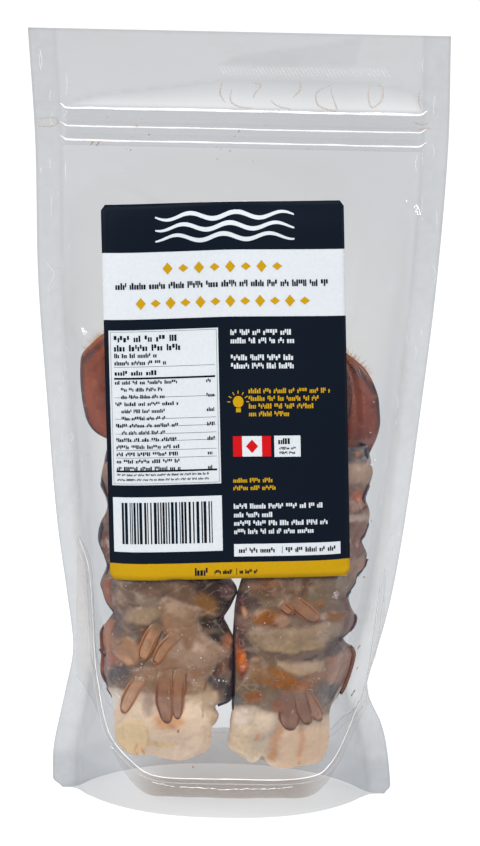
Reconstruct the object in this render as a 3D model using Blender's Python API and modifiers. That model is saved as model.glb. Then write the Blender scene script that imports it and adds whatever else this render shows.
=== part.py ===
"""A stand-up food pouch of clear film that holds two frozen lobster tails, with a paper label on its front.

The pouch stands on its bottom gusset, label towards -Y, and its origin is the middle of its base.
The sealed pouch is one solid out to its film, and the tails show as the relief that they press into it.
Sizes are in millimetres, and points become metres when a mesh is made.
"""

import functools
import math

import bmesh
import bpy

MM = 0.001

# The flat pouch, from which its standing form follows
HEIGHT = 293.5
FLAT_WIDTH = 156.0
SIDE_SEAL = 9.5
PANEL_WIDTH = FLAT_WIDTH - 2 * SIDE_SEAL
SEAL_THICKNESS = 0.8

# Side edges of the standing pouch: height, then how far out the left and the right edge stand.
# The edges come in to a waist above the gusset and spread again in the two bottom ears.
SIDE_EDGES = (
    (0.0, 66.2, 64.4),
    (16.0, 66.2, 62.7),
    (28.0, 64.1, 60.1),
    (42.0, 61.3, 54.0),
    (56.0, 59.0, 56.9),
    (76.0, 61.3, 61.7),
    (107.0, 65.7, 66.3),
    (154.0, 69.9, 71.3),
    (200.0, 73.6, 75.5),
    (252.0, 75.1, 78.2),
    (HEIGHT, 78.2, 77.9),
)

# How square the cross-section is at each height: round at the base, and flat over the tails and the label
SQUARENESS = (
    (0.0, 2.4),
    (30.0, 4.0),
    (60.0, 7.5),
    (95.0, 8.5),
    (160.0, 8.0),
    (205.0, 5.0),
    (250.0, 3.5),
    (HEIGHT, 3.5),
)
CORNER_EASE = 0.8

# Zip: two rails and the upper edge of its band, as ribs on both faces
ZIP_RAILS = (253.0, 258.0)
ZIP_BAND_TOP = 264.5
RIB_HEIGHT = 0.9
RIB_HALF_WIDTH = 0.5
RIB_FOOT = 1.1
BODY_CLOSES_FROM = 222.0
BODY_CLOSES_AT = 251.0
CLOSING_ROUND = 0.7

# Top and bottom edges
TOP_WAVE = 0.6
TOP_WAVE_STEP = 17.0
EAR_LIFT = 0.6
EAR_LIFT_FROM = 45.0
EAR_LIFT_HEIGHT = 20.0

# Gusset: the floor is flat in the middle and arches up inside each ear
GUSSET_RISE = 34.0
GUSSET_FLAT_SHARE = 0.55
GUSSET_PEAK_SHARE = 0.93
SKIRT_INSET = 0.93

# Tails inside, as the relief that they press into the film
TAIL_CENTRES = (-22.5, 26.0)
TAIL_HALF_WIDTH = 23.0
TAIL_BOTTOM = 18.0
TAIL_TOP = 180.0
SEGMENT_PITCH = 16.5
SEGMENT_SHARE = 0.2
TAIL_RELIEF = 2.4
RELIEF_EASE = 16.0

# Label, and the shallow upright fold that it makes in the front panel
LABEL_WIDTH = 90.0
LABEL_HEIGHT = 140.0
LABEL_CENTRE = (-2.3, 161.6)
LABEL_TILT = math.radians(2.4)
LABEL_LEAN = math.radians(5.1)
LABEL_THICKNESS = 0.6
LABEL_GAP = 0.5
RELIEF_UNDER_LABEL = 0.2
LABEL_EASE = (-4.0, 8.0)
FOLD_DEPTH = 5.5
FOLD_FROM = 100.0
FOLD_DEEPEST = 233.0
FOLD_HALF_WIDTH = 46.0
FOLD_LARGEST_SHARE = 0.68

# Mesh density
LENS_STEPS = 30
BASE_ROWS = 12
BODY_ROWS = 28
TOP_ROWS = 4
BODY_ROWS_FROM = 60.0
LABEL_STEPS = (18, 28)
LENGTH_STEPS = 40
DEPTH_HALVINGS = 30
SHARP_ANGLE = math.radians(40)


def smoothstep(low, high, value):
    """0 below low, 1 above high and a smooth rise between them."""
    share = min(max((value - low) / (high - low), 0.0), 1.0)
    return share * share * (3.0 - 2.0 * share)


def along(stations, height, column):
    """Reads one column of the stations at a height, on a smooth curve through them."""
    last = len(stations) - 1
    at = max(i for i in range(last) if stations[i][0] <= max(height, 0.0))
    low, high = stations[at], stations[at + 1]
    before, after = stations[max(at - 1, 0)], stations[min(at + 2, last)]
    span = high[0] - low[0]
    share = (height - low[0]) / span
    slope_low = (high[column] - before[column]) / (high[0] - before[0]) * span
    slope_high = (after[column] - low[column]) / (after[0] - low[0]) * span
    return (
        low[column] * (1 + 2 * share) * (1 - share) ** 2
        + slope_low * share * (1 - share) ** 2
        + high[column] * share**2 * (3 - 2 * share)
        + slope_high * share**2 * (share - 1)
    )


def lens_at(height):
    """Middle and half width of the open part of the pouch, between its side seals."""
    left = -along(SIDE_EDGES, height, 1) + SIDE_SEAL
    right = along(SIDE_EDGES, height, 2) - SIDE_SEAL
    return (left + right) / 2, (right - left) / 2


def lens_shape(position, height):
    """Depth of one film panel at a position from -1 to 1 across it, as a share of its greatest depth."""
    return max(1.0 - abs(position) ** along(SQUARENESS, height, 1), 0.0) ** CORNER_EASE


def places_across(steps):
    """Places from -1 to 1 across a panel, closer together towards its seals."""
    return [math.sin(math.pi * (i / steps - 0.5)) for i in range(steps + 1)]


def film_length(half_width, depth, height):
    """Length of film across one panel of this half width and depth."""
    points = [
        (half_width * place, depth * lens_shape(place, height))
        for place in places_across(LENGTH_STEPS)
    ]
    return sum(math.dist(a, b) for a, b in zip(points, points[1:]))


@functools.cache
def panel_depth(height):
    """Greatest depth of a panel: the film keeps its flat width, so a narrower pouch is a deeper one."""
    half_width = lens_at(height)[1]
    low, high = 0.0, PANEL_WIDTH / 2
    for _ in range(DEPTH_HALVINGS):
        depth = (low + high) / 2
        if film_length(half_width, depth, height) < PANEL_WIDTH:
            low = depth
        else:
            high = depth
    closed = (height - BODY_CLOSES_FROM) / (BODY_CLOSES_AT - BODY_CLOSES_FROM)
    return low * (1.0 - min(max(closed, 0.0), 1.0)) ** CLOSING_ROUND


def tail_relief(x, height):
    """How far the two tails push a panel out."""
    ends = smoothstep(TAIL_BOTTOM, TAIL_BOTTOM + RELIEF_EASE, height) * (
        1.0 - smoothstep(TAIL_TOP - RELIEF_EASE, TAIL_TOP, height)
    )
    wave = math.cos(2 * math.pi * (height - TAIL_BOTTOM) / SEGMENT_PITCH)
    segments = 1.0 + SEGMENT_SHARE * (wave - 1.0)
    across = sum(max(0.0, 1.0 - ((x - c) / TAIL_HALF_WIDTH) ** 2) for c in TAIL_CENTRES)
    return TAIL_RELIEF * ends * segments * across


def under_label(x, height):
    """1 well inside the label's outline and 0 outside it."""
    past_side = abs(x - LABEL_CENTRE[0]) - LABEL_WIDTH / 2
    past_end = abs(height - LABEL_CENTRE[1]) - LABEL_HEIGHT / 2
    return (1.0 - smoothstep(*LABEL_EASE, past_side)) * (1.0 - smoothstep(*LABEL_EASE, past_end))


def label_fold(x, height):
    """How far the front panel folds inwards behind the label's upright middle line."""
    up = min(max((height - FOLD_FROM) / (FOLD_DEEPEST - FOLD_FROM), 0.0), 1.0)
    across = max(0.0, 1.0 - abs(x - LABEL_CENTRE[0]) / FOLD_HALF_WIDTH)
    return min(FOLD_DEPTH * up, FOLD_LARGEST_SHARE * panel_depth(height)) * across


def zip_relief(position, height):
    """Height of the zip's ribs on each face. They stop at the side seals."""
    if abs(position) > 1.0:
        return 0.0
    nearest = min(abs(height - z) for z in (*ZIP_RAILS, ZIP_BAND_TOP))
    return RIB_HEIGHT * (1.0 - smoothstep(RIB_HALF_WIDTH, RIB_FOOT, nearest))


def film_depth(x, height, side):
    """Distance of the film's outer face from the pouch's middle plane. side is -1 in front and 1 behind."""
    middle, half_width = lens_at(height)
    position = (x - middle) / half_width
    depth = panel_depth(height) * lens_shape(position, height)
    relief = tail_relief(x, height)
    if side < 0:
        relief *= 1.0 - (1.0 - RELIEF_UNDER_LABEL) * under_label(x, height)
        relief -= label_fold(x, height)
    relief *= lens_shape(position, height)
    return SEAL_THICKNESS / 2 + depth + relief + zip_relief(position, height)


def edge_shift(x, height):
    """Small waves of the cut top edge, and the lift of the bottom ears off the table."""
    top = TOP_WAVE * math.sin(x / TOP_WAVE_STEP) * smoothstep(ZIP_BAND_TOP, HEIGHT, height)
    ear = EAR_LIFT * smoothstep(EAR_LIFT_FROM, SIDE_EDGES[0][1], abs(x))
    return top + ear * (1.0 - smoothstep(0.0, EAR_LIFT_HEIGHT, height))


def columns():
    """Places across the pouch: None at the two cut edges, and -1 to 1 across the panel between the seals."""
    return [None, *places_across(LENS_STEPS), None]


def in_seal(place):
    return place is None or abs(place) > 0.999999


def column_x(index, height):
    places = columns()
    if index == 0:
        return -along(SIDE_EDGES, height, 1)
    if index == len(places) - 1:
        return along(SIDE_EDGES, height, 2)
    middle, half_width = lens_at(height)
    return middle + half_width * places[index]


def gusset_height(place):
    """How high the gusset stands under a place across the pouch."""
    if in_seal(place):
        return 0.0
    return GUSSET_RISE * smoothstep(GUSSET_FLAT_SHARE, GUSSET_PEAK_SHARE, abs(place))


def outer_point(index, height, side):
    x = column_x(index, height)
    y = side * film_depth(x, height, side)
    return x, y, height + edge_shift(x, height)


def floor_point(index, side, up, inward):
    """A point under the gusset: up is the share of its height, and inward the share of the depth."""
    place = columns()[index]
    x, y, z = outer_point(index, gusset_height(place) * up, side)
    return x, 0.0 if in_seal(place) else y * inward, z


def ring(point_at):
    """Goes once round the pouch: the front from left to right, then the back from right to left."""
    count = len(columns())
    front = [point_at(i, -1) for i in range(count)]
    back = [point_at(i, 1) for i in reversed(range(count))]
    return front + back


def row_heights():
    """Heights of the rings, from the top edge to the base, close together at the zip."""
    top = [HEIGHT - (HEIGHT - ZIP_BAND_TOP - 2) * i / TOP_ROWS for i in range(TOP_ROWS + 1)]
    ribs = [
        rib + offset
        for rib in (ZIP_BAND_TOP, *reversed(ZIP_RAILS))
        for offset in (RIB_FOOT, RIB_HALF_WIDTH, -RIB_HALF_WIDTH, -RIB_FOOT)
    ]
    body_step = (BODY_CLOSES_AT - BODY_ROWS_FROM) / BODY_ROWS
    body = [BODY_CLOSES_AT - body_step * i for i in range(BODY_ROWS)]
    base = [BODY_ROWS_FROM * (1 - i / BASE_ROWS) for i in range(BASE_ROWS + 1)]
    return top + ribs + body + base


def new_object(name, mesh, material):
    mesh.materials.append(material)
    mesh.shade_smooth()
    mesh.set_sharp_from_angle(angle=SHARP_ANGLE)
    obj = bpy.data.objects.new(name, mesh)
    collection.objects.link(obj)
    return obj


def new_material(name, colour, roughness):
    material = bpy.data.materials.new(name)
    material.use_nodes = True
    shader = material.node_tree.nodes["Principled BSDF"]
    shader.inputs["Base Color"].default_value = (*colour, 1.0)
    shader.inputs["Roughness"].default_value = roughness
    shader.inputs["Metallic"].default_value = 0.0
    return material


def loft(bm, rings):
    """Skins a list of closed rings that all have the same number of points."""
    made = [[bm.verts.new([c * MM for c in point]) for point in one] for one in rings]
    count = len(rings[0])
    for upper, lower in zip(made, made[1:]):
        for i in range(count):
            j = (i + 1) % count
            bm.faces.new((upper[i], lower[i], lower[j], upper[j]))
    return made


def make_pouch():
    """The sealed pouch: rings from the top edge down to the base, then in under the gusset."""
    rings = [
        ring(lambda i, side, z=height: outer_point(i, z, side)) for height in row_heights()
    ]
    under = [(up, SKIRT_INSET) for up in (0.0, 0.35, 0.7, 1.0)]
    under += [(1.0, inward) for inward in (0.6, 0.3, 0.0)]
    rings += [
        ring(lambda i, side, u=up, n=inward: floor_point(i, side, u, n))
        for up, inward in under
    ]
    bm = bmesh.new()
    top = loft(bm, rings)[0]
    for i in range(len(columns()) - 1):
        bm.faces.new((top[i], top[i + 1], top[-2 - i], top[-1 - i]))
    bmesh.ops.remove_doubles(bm, verts=bm.verts, dist=0.002 * MM)
    bmesh.ops.dissolve_degenerate(bm, dist=0.001 * MM, edges=bm.edges)
    bmesh.ops.recalc_face_normals(bm, faces=bm.faces)
    mesh = bpy.data.meshes.new("pouch")
    bm.to_mesh(mesh)
    bm.free()
    return new_object("pouch", mesh, new_material("clear_film", (0.62, 0.65, 0.67), 0.25))


def label_point(a, b):
    """A point of the label's underside, a to its right and b up from its middle."""
    x = LABEL_CENTRE[0] + a * math.cos(LABEL_TILT) - b * math.sin(LABEL_TILT)
    rise = a * math.sin(LABEL_TILT) + b * math.cos(LABEL_TILT)
    z = LABEL_CENTRE[1] + rise * math.cos(LABEL_LEAN)
    return x, -film_depth(x, z, -1) - LABEL_GAP, z


def make_label():
    """The paper label, a thin sheet that follows the front panel."""
    bm = bmesh.new()
    bmesh.ops.create_grid(
        bm, x_segments=LABEL_STEPS[0], y_segments=LABEL_STEPS[1], size=0.5
    )
    for vert in bm.verts:
        point = label_point(vert.co.x * LABEL_WIDTH, vert.co.y * LABEL_HEIGHT)
        vert.co = [c * MM for c in point]
    mesh = bpy.data.meshes.new("label")
    bm.to_mesh(mesh)
    bm.free()
    label = new_object("label", mesh, new_material("label_paper", (0.02, 0.03, 0.06), 0.4))
    solidify = label.modifiers.new("paper_thickness", "SOLIDIFY")
    solidify.thickness = LABEL_THICKNESS * MM
    solidify.offset = 1.0
    return label


for old in list(bpy.data.objects):
    bpy.data.objects.remove(old)
collection = bpy.data.collections.new("lobster_tail_pouch")
bpy.context.scene.collection.children.link(collection)
make_pouch()
make_label()
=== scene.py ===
"""Two raw lobster tails in a clear stand-up pouch with a paper label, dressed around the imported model."""
import math

import bpy
import numpy as np
from mathutils import Matrix, Vector
from mathutils.bvhtree import BVHTree


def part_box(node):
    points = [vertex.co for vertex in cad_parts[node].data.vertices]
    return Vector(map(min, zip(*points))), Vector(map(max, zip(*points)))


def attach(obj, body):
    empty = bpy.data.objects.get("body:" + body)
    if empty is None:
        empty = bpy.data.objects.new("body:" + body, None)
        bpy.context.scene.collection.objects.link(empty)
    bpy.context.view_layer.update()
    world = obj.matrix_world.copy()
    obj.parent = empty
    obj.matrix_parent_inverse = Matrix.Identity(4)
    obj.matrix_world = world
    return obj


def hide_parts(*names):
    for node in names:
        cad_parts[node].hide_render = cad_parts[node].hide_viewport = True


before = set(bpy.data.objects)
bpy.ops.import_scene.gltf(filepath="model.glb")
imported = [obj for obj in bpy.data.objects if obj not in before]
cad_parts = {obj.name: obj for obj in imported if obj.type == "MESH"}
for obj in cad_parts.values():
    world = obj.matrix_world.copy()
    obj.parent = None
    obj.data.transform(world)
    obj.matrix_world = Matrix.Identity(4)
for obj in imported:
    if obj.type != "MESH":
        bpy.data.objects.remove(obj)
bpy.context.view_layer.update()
MM = 0.001

# The table, lamps and camera
# The pouch stands on white board in a white tent. The room behind the camera is darker, so the film
# stays clear, and two strip lamps high at the sides draw the white lines along its folds.
PHOTO_WIDTH = 480
PHOTO_HEIGHT = 846
FOCAL_PIXELS = 3707.8
SENSOR = 36.0
CAMERA_DISTANCE = 1400.0
CAMERA_RISE = math.radians(13)
CAMERA_ROLL = math.radians(1.2)
AIM = Vector((3.09, 0, 145.86))
NEAREST_SEEN = 0.05
TENT_BY_HEIGHT = (-0.5, 0.9, 0.35, 1.25)
TENT_BY_DEPTH = (-0.98, -0.55, 0.35, 1.0)
BOARD_METRES = 6
BOARD_DROP = 0.25
BOARD_GREY = (0.30, 0.30, 0.30, 1)
BOARD_GLOW = (0.62, 0.80)
MOST_CLEAR_LAYERS = 24
MOST_BOUNCES = 8
# Each lamp is its name, its place and what it faces, its width and height, all in mm, and its watts.
LAMPS = (
    ("left_softbox", (-900, -1000, 1000), (0, 0, 130), 700, 700, 12.0),
    ("left_strip", (-620, -520, 620), (0, 0, 150), 60, 600, 5.0),
    ("right_strip", (760, -420, 420), (0, 0, 150), 60, 500, 4.0),
    ("top_strip", (60, -260, 1150), (0, 0, 250), 700, 70, 5.0),
)

back_way = Vector((0, -math.cos(CAMERA_RISE), math.sin(CAMERA_RISE)))
level_right = Vector((1, 0, 0))
level_up = back_way.cross(level_right)
right_way = level_right * math.cos(CAMERA_ROLL) + level_up * math.sin(CAMERA_ROLL)
up_way = level_up * math.cos(CAMERA_ROLL) - level_right * math.sin(CAMERA_ROLL)
eye = AIM + back_way * CAMERA_DISTANCE

camera = bpy.data.objects.new("camera", bpy.data.cameras.new("camera"))
bpy.context.scene.collection.objects.link(camera)
bpy.context.scene.camera = camera
camera.data.lens = FOCAL_PIXELS * SENSOR / PHOTO_HEIGHT
camera.data.sensor_width = SENSOR
camera.data.clip_start = NEAREST_SEEN
axes = Matrix((right_way, up_way, back_way)).transposed()
camera.matrix_world = Matrix.Translation(eye * MM) @ axes.to_4x4()


def photo_place(points):
    """Where points of an array (..., 3), in mm, show in the 480 by 846 photograph."""
    ray = points - np.array(eye)
    away = -ray @ np.array(back_way)
    return np.stack([PHOTO_WIDTH / 2 + FOCAL_PIXELS * (ray @ np.array(right_way)) / away,
                     PHOTO_HEIGHT / 2 - FOCAL_PIXELS * (ray @ np.array(up_way)) / away], -1)


def behind_pixel(px, py, depth):
    """The place (x, z) in mm, at y = depth, that shows at a pixel of the photograph."""
    across, down = (px - PHOTO_WIDTH / 2) / FOCAL_PIXELS, (py - PHOTO_HEIGHT / 2) / FOCAL_PIXELS
    ray_x, ray_y, ray_z = (-back_way[k] + right_way[k] * across - up_way[k] * down for k in range(3))
    reach = (depth - eye.y) / ray_y
    return eye.x + ray_x * reach, eye.z + ray_z * reach


def linear(red, green, blue):
    """A colour in screen values, 0 to 255, as scene-linear numbers."""
    return tuple(((c / 255 + 0.055) / 1.055) ** 2.4 for c in (red, green, blue))


def wire(tree, *pairs):
    """Joins outputs to inputs, given as (node, output, node, input)."""
    for source, out, target, into in pairs:
        tree.links.new(source.outputs[out], target.inputs[into])


def carry_over(tree, *spans):
    """A node that carries values over from one span to another: from low, from high, to low, to high."""
    node = tree.nodes.new("ShaderNodeMapRange")
    for socket, value in zip(("From Min", "From Max", "To Min", "To Max"), spans):
        node.inputs[socket].default_value = value
    return node


def light_tent():
    """White where the camera looks straight at it, and soft light that fades low and behind the camera."""
    world = bpy.data.worlds.new("tent")
    bpy.context.scene.world = world
    world.use_nodes = True
    tree = world.node_tree
    tree.nodes.clear()
    out = tree.nodes.new("ShaderNodeOutputWorld")
    pick = tree.nodes.new("ShaderNodeMixShader")
    path = tree.nodes.new("ShaderNodeLightPath")
    seen = tree.nodes.new("ShaderNodeBackground")
    seen.inputs["Color"].default_value = (1, 1, 1, 1)
    lit = tree.nodes.new("ShaderNodeBackground")
    place = tree.nodes.new("ShaderNodeTexCoord")
    parts = tree.nodes.new("ShaderNodeSeparateXYZ")
    height = carry_over(tree, *TENT_BY_HEIGHT)
    front = carry_over(tree, *TENT_BY_DEPTH)
    both = tree.nodes.new("ShaderNodeMath")
    both.operation = "MULTIPLY"
    wire(tree, (place, "Generated", parts, 0), (parts, "Z", height, "Value"), (parts, "Y", front, "Value"),
         (height, "Result", both, 0), (front, "Result", both, 1), (both, 0, lit, "Strength"),
         (path, "Is Camera Ray", pick, 0), (lit, 0, pick, 1), (seen, 0, pick, 2), (pick, 0, out, 0))


def lamp(name, place, aim, width, height, watts):
    """A softbox at place, in mm, facing aim."""
    data = bpy.data.lights.new(name, "AREA")
    data.shape = "RECTANGLE"
    data.size = width * MM
    data.size_y = height * MM
    data.energy = watts
    box = bpy.data.objects.new(name, data)
    bpy.context.scene.collection.objects.link(box)
    box.location = Vector(place) * MM
    box.rotation_euler = (Vector(place) - Vector(aim)).to_track_quat("Z", "Y").to_euler()


light_tent()
for values in LAMPS:
    lamp(*values)

bpy.ops.mesh.primitive_plane_add(size=BOARD_METRES)
board = bpy.context.object
board.name = "white_board"
board.location.z = -BOARD_DROP * MM
board_white = bpy.data.materials.new("white board")
board_white.use_nodes = True
board_shader = board_white.node_tree.nodes["Principled BSDF"]
board_shader.inputs["Base Color"].default_value = BOARD_GREY
board_shader.inputs["Roughness"].default_value = 0.9
board_shader.inputs["Specular IOR Level"].default_value = 0.0
board_shader.inputs["Emission Color"].default_value = (1, 1, 1, 1)
board_path = board_white.node_tree.nodes.new("ShaderNodeLightPath")
board_glow = carry_over(board_white.node_tree, 0, 1, *BOARD_GLOW)
wire(board_white.node_tree, (board_path, "Is Camera Ray", board_glow, "Value"),
     (board_glow, "Result", board_shader, "Emission Strength"))
board.data.materials.append(board_white)
bpy.context.scene.view_settings.view_transform = "Standard"
bpy.context.scene.cycles.transparent_max_bounces = MOST_CLEAR_LAYERS
bpy.context.scene.cycles.max_bounces = MOST_BOUNCES

# The clear pouch: front and back film
# Two sheets of clear laminate, sealed to each other down both sides and along the top. Their form is
# read off the pouch's own solid, smoothed, and then crumpled as cold film is.
GRID = 1.0
MAP_X = (-82, 83)
MAP_Z = (0, 296)
RAY_START = 200
LOWEST_RAY = 0.4
FILM_SMOOTHING = 2.6
EDGE_STEP = 3.0
WIDEST_HALF = 84.0
HALVINGS = 12
NOISE_CELLS = 64
FILM_STEP = 1.2
SIDE_SEAL = 9.5
SEAL_GAP = 0.15
ZIP_LINES = (252.6, 257.8, 264.6)
ZIP_ENDS = (-66.0, 70.0)
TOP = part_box("pouch")[1].z / MM
FULL_WIDTH = 156

x_ticks = np.arange(*MAP_X, GRID)
z_ticks = np.arange(*MAP_Z, GRID)


def ray_tree(node):
    """A search tree over one solid of the frame."""
    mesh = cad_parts[node].data
    return BVHTree.FromPolygons([v.co for v in mesh.vertices], [p.vertices for p in mesh.polygons])


def depth_map(tree, side):
    """The y in mm where rays from the front (side -1) or back (side 1) first meet the solid."""
    found = np.full((len(z_ticks), len(x_ticks)), np.nan)
    for i, z in enumerate(z_ticks):
        for j, x in enumerate(x_ticks):
            start = Vector((x, side * RAY_START, max(z, LOWEST_RAY)))
            hit = tree.ray_cast(start * MM, Vector((0, -side, 0)))[0]
            if hit is not None:
                found[i, j] = hit.y / MM
    return found


def blur(field, sigma, step=GRID):
    """Smooths a map, whose places are step mm apart, over sigma mm, keeping its edges level."""
    reach = int(3 * sigma / step)
    kernel = np.exp(-0.5 * (np.arange(-reach, reach + 1) * step / sigma) ** 2)
    kernel /= kernel.sum()
    for axis in (0, 1):
        padded = np.pad(field, [(reach, reach) if a == axis else (0, 0) for a in (0, 1)], mode="edge")
        field = np.apply_along_axis(lambda line: np.convolve(line, kernel, "valid"), axis, padded)
    return field


def fill_outwards(field):
    """Carries each row's last measured values out past the pouch's sides."""
    for row in field:
        known = np.flatnonzero(~np.isnan(row))
        if len(known):
            row[:] = np.interp(np.arange(len(row)), known, row[known])
    rows = [i for i, row in enumerate(field) if not np.isnan(row).any()]
    for i in range(len(field)):
        field[i] = field[min(rows, key=lambda r: abs(r - i))]
    return field


def look_up(field, x, z):
    """A map's value between its grid points."""
    p = np.clip((np.asarray(x, float) - x_ticks[0]) / GRID, 0, len(x_ticks) - 1.001)
    q = np.clip((np.asarray(z, float) - z_ticks[0]) / GRID, 0, len(z_ticks) - 1.001)
    i, j = q.astype(int), p.astype(int)
    f, g = q - i, p - j
    return ((field[i, j] * (1 - g) + field[i, j + 1] * g) * (1 - f)
            + (field[i + 1, j] * (1 - g) + field[i + 1, j + 1] * g) * f)


pouch_tree = ray_tree("pouch")
front_map = blur(fill_outwards(depth_map(pouch_tree, -1)), FILM_SMOOTHING)
back_map = blur(fill_outwards(depth_map(pouch_tree, 1)), FILM_SMOOTHING)


def side_edge(z, side):
    """The x of the pouch's left (side -1) or right (side 1) edge at height z, found by halving."""
    near, far = 0.0, WIDEST_HALF
    for _ in range(HALVINGS):
        middle = (near + far) / 2
        hit = pouch_tree.ray_cast(Vector((side * middle, -RAY_START, z)) * MM, Vector((0, 1, 0)))[0]
        near, far = (middle, far) if hit is not None else (near, middle)
    return side * near


edge_ticks = np.concatenate([[0.5], np.arange(EDGE_STEP, TOP - 1, EDGE_STEP), [TOP - 1.2]])
left_edges = [side_edge(z, -1) for z in edge_ticks]
right_edges = [side_edge(z, 1) for z in edge_ticks]


def film_span(z):
    """The pouch's left and right edge at height z."""
    return np.interp(z, edge_ticks, left_edges), np.interp(z, edge_ticks, right_edges)


def smooth_noise(a, b, scale, seed):
    """Soft random swell between -1 and 1, with a bump about every scale mm."""
    lattice = np.random.default_rng(seed).uniform(-1, 1, (NOISE_CELLS, NOISE_CELLS))
    p, q = np.asarray(a) / scale, np.asarray(b) / scale
    i, j = np.floor(p).astype(int), np.floor(q).astype(int)
    f, g = p - i, q - j
    f, g = f * f * (3 - 2 * f), g * g * (3 - 2 * g)

    def corner(m, n):
        return lattice[(i + m) % NOISE_CELLS, (j + n) % NOISE_CELLS]

    return ((corner(0, 0) * (1 - f) + corner(1, 0) * f) * (1 - g)
            + (corner(0, 1) * (1 - f) + corner(1, 1) * f) * g)


def swells(a, b, *layers):
    """Several layers of soft random swell on each other, each given as (height, scale, seed)."""
    return sum(height * smooth_noise(a, b, scale, seed) for height, scale, seed in layers)


def ramp(value, low, high):
    """0 below low, 1 above high, and a smooth step between. The two may be the other way round."""
    t = np.clip((value - low) / (high - low), 0, 1)
    return t * t * (3 - 2 * t)


def along_line(x, z, points):
    """For each place, its distance to a chain of points and how far along the chain that is, 0 to 1."""
    points = np.array(points, float)
    runs = np.hypot(*np.diff(points, axis=0).T)
    before = np.concatenate([[0], np.cumsum(runs)])
    best = np.full(np.shape(x), 1e9)
    share = np.zeros(np.shape(x))
    for k, (start, end) in enumerate(zip(points[:-1], points[1:])):
        way = end - start
        t = np.clip(((x - start[0]) * way[0] + (z - start[1]) * way[1]) / (way @ way), 0, 1)
        away = np.hypot(x - start[0] - t * way[0], z - start[1] - t * way[1])
        nearer = away < best
        best = np.where(nearer, away, best)
        share = np.where(nearer, (before[k] + t * runs[k]) / before[-1], share)
    return best, share


# Each crease is a chain of places (x, z), how far it stands out and its half width, in mm.
FRONT_CREASES = (
    (((-54.7, 160), (-51.6, 120), (-49.4, 66)), 0.9, 1.5),
    (((-58.5, 182), (-57.0, 140), (-55.0, 104)), 0.5, 1.3),
    (((66.5, 248), (66.4, 216), (65.5, 186), (62.5, 159), (60.0, 121), (57.3, 82)), 0.8, 1.3),
    (((59.6, 234.3), (74.8, 220.3)), 0.8, 1.2),
    (((-62.5, 188), (-58.0, 181), (-53.5, 176)), 1.3, 2.2),
    (((-56.0, 246), (-44.0, 236), (-30.0, 231)), 0.5, 2.0),
    (((30.0, 250), (44.0, 243), (60.0, 240)), 0.5, 2.0),
    (((57.0, 60), (60.0, 40), (64.0, 14)), 0.8, 1.6),
    (((-56.0, 60), (-59.0, 38), (-63.0, 12)), 0.8, 1.6),
    (((50.0, 84), (53.0, 66), (55.5, 52)), 0.9, 1.4),
)
BACK_CREASES = (
    (((-50, 236), (-20, 222), (12, 230)), 0.9, 2.0),
    (((48, 210), (40, 160), (46, 112)), 1.0, 1.8),
    (((-46, 180), (-52, 130), (-48, 80)), 1.0, 1.8),
    (((-20, 150), (6, 128), (14, 100)), 0.8, 2.0),
    (((20, 90), (30, 60), (24, 34)), 0.8, 2.0),
)
# Above the zip the sealed flap is pulled in on itself: buckles (x, z, half width, half height, rise).
FLAP_BUCKLES = ((-1.0, 274, 3.2, 7.0, 1.5), (8.5, 272, 3.4, 6.5, 1.3), (19.0, 273, 3.0, 6.0, 1.5),
                (28.0, 271, 2.6, 5.0, 1.2), (36.0, 272, 3.2, 6.0, 1.3), (47.0, 271, 2.6, 4.5, 1.0),
                (56.0, 271, 3.0, 5.0, 1.2))
FLAP_OPENING = ((-66, 265.5), (-51, 270), (-27, 273), (-7, 276), (20, 276.5), (50, 276), (64, 274), (70, 267))
# Heights of the film's relief and the places between which it comes and goes, in mm.
SEAL_TO_LOOSE = (SIDE_SEAL - 1, SIDE_SEAL + 8)
LOOSE_ABOVE = (20, 40)
LOOSE_BELOW = (262, 240)
COARSE_SWELL = (0.45, 24)
FINE_SWELL = (0.16, 9)
HEM_RUFFLE = 0.35
HEM_SPACING = 2.6
FLAP_BULGE = 0.8
RAIL_DENT = (0.35, 0.9)


def flap_share(x, z):
    """How far up the flap's open part each place is: 0 at the top rail of the zip, 1 at the seal."""
    opening = np.interp(x, *np.array(FLAP_OPENING).T)
    return np.clip((z - ZIP_LINES[2]) / np.maximum(opening - ZIP_LINES[2], 1), 0, 1)


def film_relief(side, x, z):
    """How far the film stands out from the smooth pouch, in mm, with its creases and buckles."""
    left, right = film_span(z)
    inset = np.minimum(x - left, right - x)
    inner = ramp(inset, *SEAL_TO_LOOSE)
    loose = inner * ramp(z, *LOOSE_ABOVE) * ramp(z, *LOOSE_BELOW)
    rise = loose * swells(x, z, (*COARSE_SWELL, 3 + side), (*FINE_SWELL, 11 + side))
    for points, height, half_width in FRONT_CREASES if side < 0 else BACK_CREASES:
        away, share = along_line(x, z, points)
        ends = np.sin(np.pi * np.clip(share, 0.02, 0.98)) ** 0.5
        rise = rise + height * np.exp(-(away / half_width) ** 2) * ends
    hem = ramp(inset, 1.5, 8) * HEM_RUFFLE
    rise = rise + hem * smooth_noise(x, z / 3, HEM_SPACING, 21 + side) * (1 - inner)
    rise = rise + FLAP_BULGE * np.sin(np.pi * flap_share(x, z) ** 0.6) * (z > ZIP_LINES[2])
    if side < 0:
        for cx, cz, half_x, half_z, height in FLAP_BUCKLES:
            rise = rise + height * np.exp(-((x - cx) / half_x) ** 2 - ((z - cz) / half_z) ** 2)
    height, half_width = RAIL_DENT
    within = ramp(x, ZIP_ENDS[0], ZIP_ENDS[0] + 4) * ramp(x, ZIP_ENDS[1], ZIP_ENDS[1] - 4)
    for line in ZIP_LINES:
        rise = rise + height * np.exp(-((z - line) / half_width) ** 2) * within
    return rise


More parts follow.
